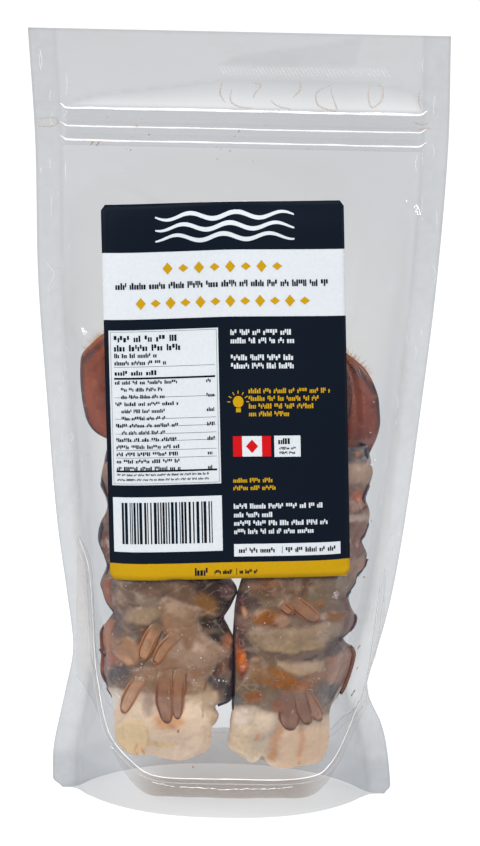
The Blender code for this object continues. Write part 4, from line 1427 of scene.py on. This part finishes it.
def belly(tail, patches, seed):
    """The belly skin of one tail with every patch raised and painted on it."""
    sizes = TAILS[tail]
    rows = int((BELLY_TOP - BELLY_BOTTOM) / BELLY_STEP)
    columns = int(BELLY_ACROSS / BELLY_STEP)
    z = np.linspace(BELLY_BOTTOM, BELLY_TOP, rows)[:, None] * np.ones(columns)
    left, right = side_at(tail, "left", z), side_at(tail, "right", z)
    x = left + (right - left) * np.linspace(0, 1, columns)
    hem = smooth_chain(sizes["hem"], 1.0)
    hem_z = np.interp(x, hem[:, 0], hem[:, 1])
    z = z + (hem_z - BELLY_BOTTOM) * np.exp(-(z - BELLY_BOTTOM) / 6)
    y = belly_base(x, z, left, right)
    pixels = photo_place(np.stack([x, y, z], -1))
    px, py = (pixels[..., k] + swells(x, z, (1.6, 5.0, seed + k), (0.9, 2.2, seed + 10 + k),
                                      (0.4, 0.9, seed + 20 + k)) for k in range(2))
    colour = np.ones((*x.shape, 3)) * flesh(*sizes["base"])
    rise = swells(x, z, (0.5, 5.5, seed + 4), (0.22, 2.0, seed + 5))
    hidden = ramp(z, *HIDDEN_BARS)
    bars = np.sin((z - 62) / BAR_PITCH * 2 * np.pi)
    rise = rise + hidden * 1.2 * bars
    colour = colour * (1 + 0.25 * (hidden * bars)[..., None])
    for fine in (False, True):
        for kind, place, tone, height, softness in patches:
            if fine == (kind == "line" or kind == "blob" and min(place[2:4]) < 3):
                share = patch_share(kind, place, softness, px, py) * (0.8 if fine else 1)
                colour = towards(colour, flesh(*tone), share)
                rise = rise + height * share
        soften = 0.2 if fine else 0.42
        colour = np.stack([blur(colour[..., k], soften, BELLY_STEP) for k in range(3)], -1)
        rise = blur(rise, soften * 0.6, BELLY_STEP)
    # Painted light: lighter low on the belly, where less light reaches it.
    colour = colour * (1 + (MEAT_PAINTED_LIGHT - 1) * ramp(z, *MEAT_SHOWS)[..., None])
    # Painted light: lighter just above the hem, where shade falls.
    colour = colour * (1 + HEM_PAINTED_LIGHT * ramp(z - hem_z, 4.5, 0.5))[..., None]
    glaze = ramp(swells(x, z, (1.0, 7, seed + 30), (0.7, 2.4, seed + 31)), 0.1, 1.2) * 0.42
    colour = towards(colour, flesh(*GLAZE_TONE), glaze * ramp(z, 44, 50))
    thread = np.exp(-(smooth_noise(x * 0.7 + z, z - x * 0.4, 3.2, seed + 32) / 0.045) ** 2) * 0.3
    colour = towards(colour, flesh(*THREAD_TONE), thread)
    shade = 1 + swells(x, z, (0.06, 0.6, seed + 8), (0.09, 1.3, seed + 6), (0.12, 4.0, seed + 7))
    colour = colour * shade[..., None]
    colour = np.maximum(colour / np.maximum(colour.max(-1, keepdims=True) / BRIGHTEST, 1), DARKEST)
    BELLY_FIELDS[tail] = (z[:, 0], left[:, 0], right[:, 0], colour)
    rise = MOST_RISE * np.tanh(rise / MOST_RISE)
    mesh = grid_mesh(f"tail_{tail}_belly", np.stack([x, behind_film(x, y - rise, z, BELLY_CLEARANCE), z], -1))
    paint(mesh, "paint", colour.reshape(-1, 3))
    return mesh


LIGHT_DEPTH = (0.004, 0.002, 0.0012)
LIGHT_DEPTH_SCALE = 0.6
FLESH_GRAIN = (700, 0.95, 1.04, 4)


def painted_material(name, roughness, bump, soft=0.0):
    """Wet frozen flesh or shell, coloured by the piece's own paint layer."""
    material, shader = new_material(name, Specular_IOR_Level=0.35, Subsurface_Weight=soft)
    shader.inputs["Subsurface Radius"].default_value = LIGHT_DEPTH
    shader.inputs["Subsurface Scale"].default_value = LIGHT_DEPTH_SCALE
    tree = material.node_tree
    layer = tree.nodes.new("ShaderNodeAttribute")
    layer.attribute_name = "paint"
    scaled = tree.nodes.new("ShaderNodeMix")
    scaled.data_type = "RGBA"
    scaled.blend_type = "MULTIPLY"
    scaled.inputs["Factor"].default_value = 1.0
    wire(tree, (layer, "Color", scaled, "A"), (mottle(material, *FLESH_GRAIN), 0, scaled, "B"),
         (scaled, "Result", shader, "Base Color"),
         (mottle(material, 260, *roughness), 0, shader, "Roughness"))
    add_bump(material, shader, mottle(material, 480, 0, 1, 4), bump, 0.6)
    return material


wet_skin = painted_material("wet belly skin", (0.25, 0.45), 0.05)
raw_meat = painted_material("raw tail meat", (0.3, 0.5), 0.06, 0.25)
shell_finish = painted_material("lobster shell", (0.22, 0.42), 0.08)
for tail, patches, seed in (("left", LEFT_PATCHES, 100), ("right", RIGHT_PATCHES, 140)):
    add_piece(f"tail_{tail}_belly", belly(tail, patches, seed), wet_skin)

# The meat
# The cut end of each tail: a plug of white muscle that fills the first rings and swells out below them.
# It stands on the gusset, so its underside slopes back and down from the front film.
MEAT_TOP = 64.0
TAIL_DEPTH = ((18, 36), (45, 38), (62, 38), (95, 31), (126, 24), (141, 17))
MEAT_FRONT = 1.7
MEAT_INSET = 0.9
MEAT_CLEARANCE = 1.5
MEAT_TONE = (205, 186, 162)
# Painted light: the meat's underside is painted this lighter tone, against the shade under it.
UNDERSIDE_PAINTED_LIGHT = (232, 220, 206)
MEAT_ROWS = 56
FOOT_ROWS = 18
LOWEST_MEAT = 22
UNDERSIDE_SLOPE = 0.22


def ridge_y(x, z):
    """The y of the shell's back, over the whole tail's depth behind the front film."""
    depth = np.array(TAIL_DEPTH)
    return film_y(-1, x, z) + np.interp(z, depth[:, 0], depth[:, 1])


def meat(tail, seed):
    """A closed lumpy plug: rings down from inside the shell, then drawn together under the foot."""
    hem = smooth_chain(TAILS[tail]["hem"], 1.0)
    turn = np.linspace(0, 2 * np.pi, 120, endpoint=False)[None, :]
    down = np.concatenate([np.linspace(0, 1, MEAT_ROWS), np.ones(FOOT_ROWS)])[:, None]
    shrink = np.concatenate([np.ones(MEAT_ROWS), np.linspace(1, 0.02, FOOT_ROWS) ** 0.8])[:, None]
    level = MEAT_TOP + (LOWEST_MEAT - MEAT_TOP) * down
    left, right = side_at(tail, "left", level) + MEAT_INSET, side_at(tail, "right", level) - MEAT_INSET
    middle = (left + right) / 2
    inside_shell = ramp(level, 38, 45)
    cos, sin = np.cos(turn), np.sin(turn)
    x = middle + (right - left) / 2 * (1 - 0.13 * inside_shell) * np.sign(cos) * np.abs(cos) ** 0.7 * shrink
    front_hem = np.interp(x, hem[:, 0], hem[:, 1]) + 1.6
    start = film_y(-1, middle, level * 0 + LOWEST_MEAT) + BELLY_GAP
    front_z = MEAT_TOP + (front_hem - MEAT_TOP) * down
    front = belly_base(x, front_z, left - MEAT_INSET, right + MEAT_INSET) + MEAT_FRONT
    back = ridge_y(middle, level) - 2.5 - 5 * inside_shell
    centre = (front + back) / 2
    y = centre + (back - front) / 2 * np.sign(sin) * np.abs(sin) ** 0.8 * shrink
    foot = np.maximum(front_hem - UNDERSIDE_SLOPE * np.maximum(y - start - 3, 0), 3.2)
    z = MEAT_TOP + (foot - MEAT_TOP) * down
    round_off = (1 - shrink ** 2) * 0.8
    z = z + 1.6 * (1 - (1 - shrink) ** 0.5) * (down == 1) - round_off
    lumps = swells(turn * 16 + level * 0, level + shrink * 9, (0.9, 6, seed), (0.4, 2.2, seed + 1))
    fade = ramp(np.abs(turn - np.pi), np.pi, np.pi - 0.3)
    x = x + lumps * cos * fade
    y = y + lumps * np.maximum(sin, -0.1) * fade
    z = np.maximum(z + 0.7 * lumps * (down == 1) * fade, 1.4)
    y = behind_film(x, y, z, MEAT_CLEARANCE)
    mesh = grid_mesh(f"tail_{tail}_meat", np.stack([x, y, z], -1)[::-1], closed=True)
    # Painted light: the meat is painted lighter where less light reaches it.
    tone = np.ones((*x.shape, 3)) * flesh(*MEAT_TONE) * MEAT_PAINTED_LIGHT
    # Painted light: lighter on the underside, where shade falls.
    tone = towards(tone, flesh(*UNDERSIDE_PAINTED_LIGHT) * MEAT_PAINTED_LIGHT, ramp(z, 23, 17))
    streak = 1 + 0.12 * smooth_noise(x * 2.2, y * 0.8 + z * 0.3, 3.2, seed + 2)
    paint(mesh, "paint", np.clip((tone * streak[..., None])[::-1], DARKEST, BRIGHTEST).reshape(-1, 3))
    return mesh


for tail, seed in (("left", 180), ("right", 190)):
    add_piece(f"tail_{tail}_meat", meat(tail, seed), raw_meat)

# The shell rings
# Six arched rings of hard shell wrap the back and sides of each tail. Each ring's free edge, towards
# the fan, lies over the next one, and its ends curl round to the belly as side lobes.
RING_COLUMNS = 90
RING_ROWS = 26
SHELL_THICKNESS = 0.9
SHELL_CLEARANCE = 0.8
LOBE_CURL = math.radians(14)
LOBE_DEPTH = 6.2
LOBE_TURN_IN = 2.6
SHELL_DARK = (72, 52, 46)
SHELL_WARM = (108, 66, 50)
SHELL_RIM = (56, 40, 48)
SHELL_SIDE = (132, 82, 58)


def shell_ring(tail, number, low, high, seed):
    """One ring, swelling towards its free upper edge, with a rolled rim and faint pits."""
    t = np.linspace(0, 1, RING_ROWS)[:, None]
    turn = np.linspace(-LOBE_CURL, math.pi + LOBE_CURL, RING_COLUMNS)[None, :]
    arch = np.maximum(np.sin(turn), 0)
    z = low + (high - low) * t + (1.5 + 1.6 * t) * (arch - 0.5) * (1 - 0.4 * (number > 4))
    level = np.clip(low + (high - low) * t, 20, BELLY_TOP) * np.ones_like(turn)
    left, right = side_at(tail, "left", level) - 0.1, side_at(tail, "right", level) + 0.1
    middle, half = (left + right) / 2, (right - left) / 2
    swell = 0.955 + 0.06 * ramp(t, 0, 0.75) + 0.010 * np.exp(-((t - 0.93) / 0.05) ** 2)
    rim_y = film_y(-1, middle + (half - 4) * np.sign(np.cos(turn)), level) + LOBE_DEPTH
    ridge = ridge_y(middle, level)
    x = middle + half * np.cos(turn) * (1 - 0.05 * arch) * np.where(arch > 0, 0.5 + 0.5 * swell, 1)
    curl = np.maximum(-np.sin(turn), 0) / math.sin(LOBE_CURL)
    y = rim_y + (ridge - rim_y) * arch ** 0.85 * swell - LOBE_TURN_IN * curl ** 1.2
    pits = swells(x + y, z, (0.18, 2.2, seed), (0.35, 9, seed + 1))
    y = behind_film(x, y + pits * arch, z, SHELL_CLEARANCE)
    mesh = grid_mesh(f"tail_{tail}_ring_{number}", np.stack([x, y, z], -1))
    blotch = np.clip(0.5 + swells(x + y, z, (0.8, 5, seed + 2), (0.4, 1.8, seed + 3)), 0, 1)
    tone = towards(flesh(*SHELL_DARK), flesh(*SHELL_WARM), blotch)
    tone = towards(tone, flesh(*SHELL_SIDE), ramp(arch, 0.55, 0.15) * (0.4 + 0.6 * blotch) * 0.7)
    tone = towards(tone, flesh(*SHELL_RIM), ramp(arch, 0.16, 0.02) * (0.75 + 0.25 * blotch))
    edge = np.exp(-((t - 1.0) / 0.07) ** 2) + 0.7 * np.exp(-(t / 0.06) ** 2) + 0 * arch
    tone = towards(tone, flesh(*SHELL_RIM), np.clip(edge, 0, 0.85))
    paint(mesh, "paint", np.clip(tone, DARKEST, BRIGHTEST).reshape(-1, 3))
    ring = add_piece(f"tail_{tail}_ring_{number}", mesh, shell_finish)
    body = ring.modifiers.new("shell", "SOLIDIFY")
    body.thickness = SHELL_THICKNESS * MM
    body.offset = -1
    return ring


for tail, seed in (("left", 200), ("right", 240)):
    for number, (low, high) in enumerate(TAILS[tail]["rings"], 1):
        shell_ring(tail, number, low, high, seed + 5 * number)

# The tail fan
# A centre plate and two blades on each side, thin and slightly cupped, fringed with short stiff hairs.
# Blade outlines are (distance from the tail's middle line, z) up the outer and the inner edge, in mm.
FAN_MIDDLES = {"left": -22.5, "right": 26.0}
OUTER_INNER_EDGE = ((6, 134), (8, 150), (9, 166), (11, 176), (13, 182), (16, 187.2))
OUTER_BLADES = {
    "left": (((9, 134), (24.6, 136.5), (28.2, 139.5), (30.6, 143.2), (32.2, 150.8), (33.0, 158.4),
              (33.3, 166), (33.0, 173.0), (30.5, 176.5), (27.5, 180.5), (24.7, 184), (16, 187)),
             OUTER_INNER_EDGE),
    "right": (((9, 134), (26.8, 136), (29.3, 141.4), (31.8, 146.4), (33.2, 152.6), (32.1, 164.9),
               (29.2, 172.9), (25.5, 178.9), (21.1, 182.2), (18, 184.8), (15, 187)), OUTER_INNER_EDGE),
}
INNER_BLADE = (((7, 134), (16, 144), (20, 156), (21, 168), (19, 179), (14, 186), (9, 189)),
               ((1.5, 134), (1.0, 150), (1.5, 168), (3, 180), (6, 186), (9, 189.2)))
CENTRE_PLATE = (((8, 132), (10, 140), (10.5, 155), (10, 170), (8.5, 181), (5, 187), (0.2, 188.5)),
                ((-8, 132), (-10, 140), (-10.5, 155), (-10, 170), (-8.5, 181), (-5, 187), (0, 188.7)))
FAN_LAYERS = {"outer": 6.6, "inner": 5.0, "centre": 3.4}
FAN_SHIFT = {"left": 0.0, "right": 3.0}
FAN_SPREAD = {"left": 1.045, "right": 0.901}
FAN_LENGTH = {"left": 0.850, "right": 0.860}
FAN_BASE = {"left": 138.2, "right": 130.5}
FAN_GAIN = {"left": np.array((0.88, 0.68, 0.44)), "right": np.array((0.76, 0.54, 0.48))}
FAN_FROST = {"left": 0.8, "right": 1.6}
OUTLINE_BASE = 134
TIP_FROM = 165
NO_TIP = 9
BLADE_THICKNESS = 0.7
BLADE_WARM = (164, 96, 56)
BLADE_DEEP = (134, 76, 50)
BLADE_RIM = (60, 42, 52)
TIP_BAND = (75, 55, 66)
TIP_EDGE = (176, 122, 72)
TIP_LINE = (66, 44, 44)
BLADE_FROST = (172, 140, 124)
BLADE_SPECK = (190, 150, 130)


def blade(name, tail, side, edges, layer, seed):
    """One thin blade between its two edges, ribbed along its length, dark at the rim."""
    z = np.linspace(max(e[0][1] for e in edges), min(e[-1][1] for e in edges), 60)[:, None]
    outer, inner = (np.interp(z, *np.array(e)[:, ::-1].T) for e in edges)
    rounding = np.hanning(11)[1:-1] / np.hanning(11).sum()
    outer = np.convolve(np.pad(outer[:, 0], 4, "edge"), rounding, "valid")[:, None]
    s = np.linspace(0, 1, 34)[None, :]
    reach = (inner + (outer - inner) * s) * FAN_SPREAD[tail]
    x = FAN_MIDDLES[tail] + side * reach
    z = FAN_BASE[tail] + (z - OUTLINE_BASE) * FAN_LENGTH[tail]
    base = look_up(front_map, x, z) + layer + FAN_SHIFT[tail]
    ribs = 0.25 * np.sin(s * 26 + z * 0.03) * np.sin(np.pi * s)
    y = base + 1.2 * (2 * s - 1) ** 2 + ribs + 0.4 * smooth_noise(x, z, 8, seed)
    mesh = grid_mesh(name, np.stack([x, y, z + 0 * s], -1))
    blotch = np.clip(0.5 + 0.7 * smooth_noise(x, z, 7, seed + 1), 0, 1)
    tone = towards(flesh(*BLADE_WARM), flesh(*BLADE_DEEP), blotch)
    from_edge = np.minimum(np.minimum(s, 1 - s) * (outer - inner), z[-1] - z + 0 * s)
    tone = towards(tone, flesh(*BLADE_RIM), 0.85 * ramp(from_edge, 2.2, 0.3))
    tip_line = np.array([point for point in edges[0] if point[1] > TIP_FROM])[::-1]
    in_outline = (z - FAN_BASE[tail]) / FAN_LENGTH[tail] + OUTLINE_BASE
    from_tip = np.interp(inner + (outer - inner) * s, *tip_line.T) - in_outline
    from_tip = np.where(from_tip < 0, NO_TIP, from_tip)
    tone = towards(tone, flesh(*TIP_BAND), 0.8 * np.exp(-((from_tip - 4.2) / 1.8) ** 2))
    tone = towards(tone, flesh(*TIP_EDGE), 0.8 * ramp(from_tip, 2.6, 0.8))
    tone = towards(tone, flesh(*TIP_LINE), 0.6 * np.exp(-((from_tip - 9 - 3 * s) / 0.5) ** 2))
    frost = ramp(swells(x, z, (1.0, 5, seed + 4), (0.4, 1.6, seed + 5)), 0.1, 1.0)
    frost = np.clip(frost * ramp(z, 152, 142) * FAN_FROST[tail], 0, 1)
    tone = towards(tone, flesh(*BLADE_FROST), 0.7 * frost)
    tone = towards(tone, flesh(*BLADE_SPECK), 0.6 * ramp(smooth_noise(x, z, 0.9, seed + 2), 0.72, 0.9))
    paint(mesh, "paint", np.clip(tone * FAN_GAIN[tail], DARKEST, BRIGHTEST).reshape(-1, 3))
    piece = add_piece(name, mesh, shell_finish)
    body = piece.modifiers.new("shell", "SOLIDIFY")
    body.thickness = BLADE_THICKNESS * MM
    body.offset = 0
    tips = np.stack([x, y, z + 0 * s], -1)
    return np.concatenate([tips[-14:-1:2, -1], tips[-1, ::-3], tips[-1:-14:-2, 0]])


HAIR_LENGTH = (1.4, 3.6)
HAIR_HALF_WIDTH = (0.12, 0.24)
HAIRS_PER_STEP = 7
HAIR_LEAN = 0.12
HAIR_SPREAD_FROM = 9.0


def hair_mesh(name, roots, seed):
    """Short tapering hairs, three-sided, fanning up and out from a chain of roots."""
    chance = np.random.default_rng(seed)
    verts, faces = [], []
    centre = roots.mean(0) - np.array([0, 0, HAIR_SPREAD_FROM])
    dense = np.concatenate([a + (b - a) * np.linspace(0, 1, HAIRS_PER_STEP, endpoint=False)[:, None]
                            for a, b in zip(roots[:-1], roots[1:])])
    for root in dense:
        way = root - centre
        way = way / np.linalg.norm(way) + chance.normal(0, HAIR_LEAN, 3)
        long, thick = chance.uniform(*HAIR_LENGTH), chance.uniform(*HAIR_HALF_WIDTH)
        start = root - way * 0.6
        number = len(verts)
        verts += [(start + np.array([thick, 0, 0])) * MM, (start + np.array([-thick, thick, 0])) * MM,
                  (start + np.array([-thick, -thick, 0])) * MM, (root + way * long) * MM]
        faces += [(number, number + 1, number + 3), (number + 1, number + 2, number + 3),
                  (number + 2, number, number + 3), (number, number + 2, number + 1)]
    mesh = bpy.data.meshes.new(name)
    mesh.from_pydata([tuple(v) for v in verts], [], faces)
    return mesh


amber_hair, hair_shader = new_material("amber fringe hair", Base_Color=(0.62, 0.30, 0.09, 1), Roughness=0.45)
add_bump(amber_hair, hair_shader, mottle(amber_hair, 900, 0, 1), 0.02)
for tail, seed in (("left", 300), ("right", 330)):
    fringe = []
    for side, word in ((-1, "left"), (1, "right")):
        for part in ("outer", "inner"):
            edges = OUTER_BLADES[tail] if part == "outer" else INNER_BLADE
            fringe.append(blade(f"tail_{tail}_fan_{part}_{word}", tail, side, edges, FAN_LAYERS[part],
                                seed + side * 3 + len(part)))
    fringe.append(blade(f"tail_{tail}_fan_centre", tail, 1, CENTRE_PLATE, FAN_LAYERS["centre"], seed + 9))
    for number, roots in enumerate(fringe):
        add_piece(f"tail_{tail}_fringe_{number}", hair_mesh("fringe", roots, seed + 20 + number), amber_hair)

# The swimmerets
# Small paired paddles hinged on the belly bars: thin amber leaves with a thicker brown rim, lying flat
# against the film. Each is (base, tip, widest half width, how dark it is), in pixels of the photograph.
PADDLES = {
    "left": (((166, 616), (141.4, 660.5), 7.6, 0.05), ((184, 628), (154.2, 664), 6.6, 0.1),
             ((152, 666), (122, 713.5), 7.2, 0.0), ((168, 656), (167.5, 724), 9.0, 0.75),
             ((185, 656), (177.5, 720.5), 7.2, 0.7)),
    "right": (((282, 586), (320, 621), 8.2, 0.6), ((276, 598), (293, 614), 5.6, 0.6),
              ((298, 678), (289.5, 731), 11.5, 0.8), ((299, 678), (309, 725), 8.4, 0.7),
              ((298, 676), (322.5, 721), 8.0, 0.25)),
}
PADDLE_GAP = 0.9
PADDLE_CLEARANCE = 0.3
PADDLE_THICKNESS = 0.4
PADDLE_SINK = 1.9
LOW_FROM = 680
SHEER_LOW = 0.12
SHEER_HIGH = 0.35
TIP_START = 0.66
LEAF_LIGHT = (204, 160, 124)
LEAF_DARK = (136, 90, 66)
LEAF_AMBER = (206, 134, 44)
LEAF_DARK_AMBER = (176, 104, 44)
LEAF_LINE = (118, 64, 22)
LEAF_DARK_LINE = (78, 38, 30)


def paddle(name, tail, base, tip, half_width, dusk, layer, sheer, seed):
    """One leaf from its hinge, sunk in the belly, to its blunt tip, thin-edged and a little domed."""
    s = np.linspace(0, 1, 60)[:, None]
    t = np.linspace(-1, 1, 41)[None, :]
    way = np.array(tip, float) - base
    length = np.hypot(*way)
    way /= length
    side = np.array([-way[1], way[0]])
    past_start = np.maximum(s - TIP_START, 0) / (1 - TIP_START)
    tip_round = np.clip(1 - past_start ** 2, 0, 1) ** 0.5
    width = half_width * (0.62 + 0.38 * np.sin(np.pi / 2 * np.clip(s / 0.62, 0, 1))) * tip_round
    bend = 0.06 * length * np.sin(np.pi * s)
    width = width * (1 + 0.09 * smooth_noise(s * 9 + 3 * np.sign(t), t * 0, 1.3, seed + 6))
    px = base[0] + way[0] * length * s + side[0] * (width * t + bend)
    py = base[1] + way[1] * length * s + side[1] * (width * t + bend)
    depth = film_y(-1, *behind_pixel(px, py, -28.0)) + PADDLE_GAP + layer
    x, z = behind_pixel(px, py, depth)
    from_edge = np.minimum((1 - np.abs(t)) * half_width, (1 - s) * length * 0.8)
    rim = np.exp(-((from_edge - 1.9) / 0.95) ** 2) * ramp(s, 0.2, 0.55)
    domed = 0.3 * (1 - t ** 2) + 0.2 * rim - 0.12 * smooth_noise(x, z, 2.4, seed)
    y = behind_film(x, depth - domed + PADDLE_SINK * ramp(s, 0.36, 0), z, PADDLE_CLEARANCE)
    mesh = grid_mesh(name, np.stack([x, y, z], -1))
    behind = belly_tone(tail, x, z)
    leaf, amber_tone, line_tone = (flesh(*light) * (1 - dusk) + flesh(*dark) * dusk for light, dark in (
        (LEAF_LIGHT, LEAF_DARK), (LEAF_AMBER, LEAF_DARK_AMBER), (LEAF_LINE, LEAF_DARK_LINE)))
    tone = leaf + (behind - leaf) * sheer
    vein = smooth_noise(t * 14 + s * 2, s * 5 + t * 0, 1.7, seed + 3)
    cloud = np.clip(0.5 + swells(x, z, (0.7, 2.6, seed + 1), (0.3, 0.9, seed + 2)), 0, 1)
    tone = tone * (0.82 + 0.28 * cloud + 0.1 * vein)[..., None]
    worn = 0.55 + 0.45 * smooth_noise(x, z, 3.4, seed + 5)
    amber = ramp(from_edge, 3.6, 0.6) * ramp(s, 0.15, 0.55) * np.clip(0.45 + 0.45 * worn, 0.2, 0.9)
    tone = towards(tone, amber_tone, amber)
    tone = towards(tone, line_tone, rim * np.clip(0.65 + 0.5 * worn + 0.3 * t, 0.15, 1))
    tone = towards(tone, behind, ramp(s, 0.6, 0.15))
    paint(mesh, "paint", np.clip(tone, DARKEST, BRIGHTEST).reshape(-1, 3))
    piece = add_piece(name, mesh, wet_skin)
    body = piece.modifiers.new("leaf", "SOLIDIFY")
    body.thickness = PADDLE_THICKNESS * MM
    body.offset = -1
    return piece


for tail, leaves in PADDLES.items():
    for number, (base, tip, half_width, dusk) in enumerate(leaves, 1):
        sheer = SHEER_LOW if (base[1] + tip[1]) / 2 > LOW_FROM else SHEER_HIGH
        paddle(f"tail_{tail}_paddle_{number}", tail, base, tip, half_width, dusk,
               PADDLE_THICKNESS * (number % 2), sheer, 400 + number)

# Frost, ice and crumbs of shell
# Ice crystals stand on the flesh under the film, and crumbs of orange shell lie about the pouch. They
# are tiny uneven lumps, all of one kind joined in one mesh. Each is (pixel, size, slanted or not).
CRUMBS = (((137, 126.5), 1.5, 0), ((149, 134.5), 0.9, 0), ((92, 143), 0.9, 1), ((98, 143.5), 0.9, 1),
          ((133, 137), 0.6, 0), ((107, 117), 0.6, 0), ((141.6, 119), 0.7, 0), ((130.6, 150), 0.7, 0),
          ((126.5, 149), 0.5, 0), ((235, 136), 0.8, 0), ((239, 131), 0.7, 1), ((221, 149), 0.7, 0),
          ((230, 151), 0.6, 0), ((217, 159), 0.6, 0), ((135, 115), 0.4, 0), ((149, 124), 0.4, 0),
          ((76, 131), 0.5, 0), ((132, 127), 0.5, 0), ((236, 118), 0.5, 0), ((266, 125), 0.5, 0),
          ((216, 147), 0.5, 0), ((308, 149), 0.5, 0), ((253, 161), 0.5, 0), ((128, 168), 0.5, 0),
          ((58, 268), 0.5, 0), ((88, 455), 0.5, 0), ((359, 647), 0.8, 1), ((357.5, 668), 0.7, 1),
          ((353, 693), 1.2, 1), ((193, 767), 1.1, 0), ((364, 577), 1.2, 0), ((359, 576), 0.8, 0),
          ((358, 702), 0.5, 0), ((101, 684), 0.5, 0), ((237, 762), 0.5, 0))


CRUMB_DEPTH = 0.5
CRUMB_SHARE = 0.42
SLANTED_SHARE = 0.30


def lumps_mesh(name, places, sizes, seed):
    """Small six-pointed lumps, each (x, y, z) in mm with its half size."""
    chance = np.random.default_rng(seed)
    ways = np.array([(1, 0, 0), (0, 1, 0), (-1, 0, 0), (0, -1, 0), (0, 0, 1), (0, 0, -1)], float)
    fans = np.array([(a, (a + 1) % 4, 4) for a in range(4)] + [((a + 1) % 4, a, 5) for a in range(4)])
    verts, faces = [], []
    for place, size in zip(places, sizes):
        faces += (fans + len(verts)).tolist()
        verts += ((place + ways * size * chance.uniform(0.55, 1.25, (6, 1))) * MM).tolist()
    mesh = bpy.data.meshes.new(name)
    mesh.from_pydata(verts, [], faces)
    return mesh


crumb_shell, crumb_shader = new_material("crumb of shell", Base_Color=(0.50, 0.20, 0.035, 1), Roughness=0.4)
add_bump(crumb_shell, crumb_shader, mottle(crumb_shell, 900, 0, 1), 0.03)
crumb_places, crumb_sizes = [], []
for (px, py), size, slanted in CRUMBS:
    for step in range(-2, 3) if slanted else (0,):
        crumb_places.append(under_film(px + step * size * 0.6, py - step * size * 0.9, CRUMB_DEPTH))
        crumb_sizes.append(size * (SLANTED_SHARE if slanted else CRUMB_SHARE))
add_piece("shell_crumbs", lumps_mesh("shell_crumbs", crumb_places, crumb_sizes, 500), crumb_shell)

# The larger ice lumps sit on the bright spots of the flesh: real ice, and their white is also a painted
# highlight.
ICE_GLINT_LUMPS = ((167.6, 630.3, 0.5), (182, 635, 0.6), (201, 658, 0.7), (207.5, 624.8, 0.4), (219, 680.5, 0.9),
             (223, 680.8, 0.8), (226, 681.5, 0.5), (194, 680, 0.7), (196, 683, 0.5), (223, 651, 0.6),
             (146, 648, 0.4), (335.5, 595.3, 0.9), (334.6, 593, 0.6), (336.5, 598, 0.7), (326.4, 730, 0.8),
             (281.8, 768.2, 0.6), (339, 694, 1.0), (337.5, 698, 0.9), (341, 691, 0.7), (344, 638.3, 0.8),
             (347, 637.5, 0.5), (342, 684, 0.5), (113.3, 748, 1.3), (111.8, 746.5, 0.9), (115, 750, 0.9),
             (300, 692, 0.4), (296, 710, 0.4), (226, 592, 0.4), (104, 683, 0.6), (103, 688, 0.5),
             (212, 704, 0.5), (216, 716, 0.5), (373.8, 402, 0.6), (370.7, 432.6, 0.7),
             (374, 460, 1.2), (371, 465, 1.0), (345, 430, 0.5), (372, 521, 0.8))
# Fine frost over each belly: which tail, and between which heights.
FROST_BANDS = (("left", 44, 100), ("right", 44, 100), ("left", 40, 62), ("right", 40, 62))
FROST_GRAINS = 70
FROST_DEPTH = 0.55
ICE_DEPTH = 0.45
ICE_SHARE = 0.55
ice, ice_shader = new_material("ice crystal", Base_Color=(0.86, 0.88, 0.90, 1), Roughness=0.12, Alpha=0.7)
add_bump(ice, ice_shader, mottle(ice, 900, 0, 1), 0.03)
chance = np.random.default_rng(510)
crystals, crystal_sizes = [], []
for tail, low, high in FROST_BANDS:
    for _ in range(FROST_GRAINS):
        z = chance.uniform(low, high)
        x = chance.uniform(side_at(tail, "left", z) + 1.5, side_at(tail, "right", z) - 1.5)
        crystals.append(np.array([x, film_y(-1, x, z) + FROST_DEPTH, z]))
        crystal_sizes.append(0.10 + 0.28 * chance.random() ** 4)
for px, py, size in ICE_GLINT_LUMPS:
    crystals.append(under_film(px, py, ICE_DEPTH))
    crystal_sizes.append(size * ICE_SHARE)
add_piece("ice_crystals", lumps_mesh("ice_crystals", crystals, crystal_sizes, 511), ice)
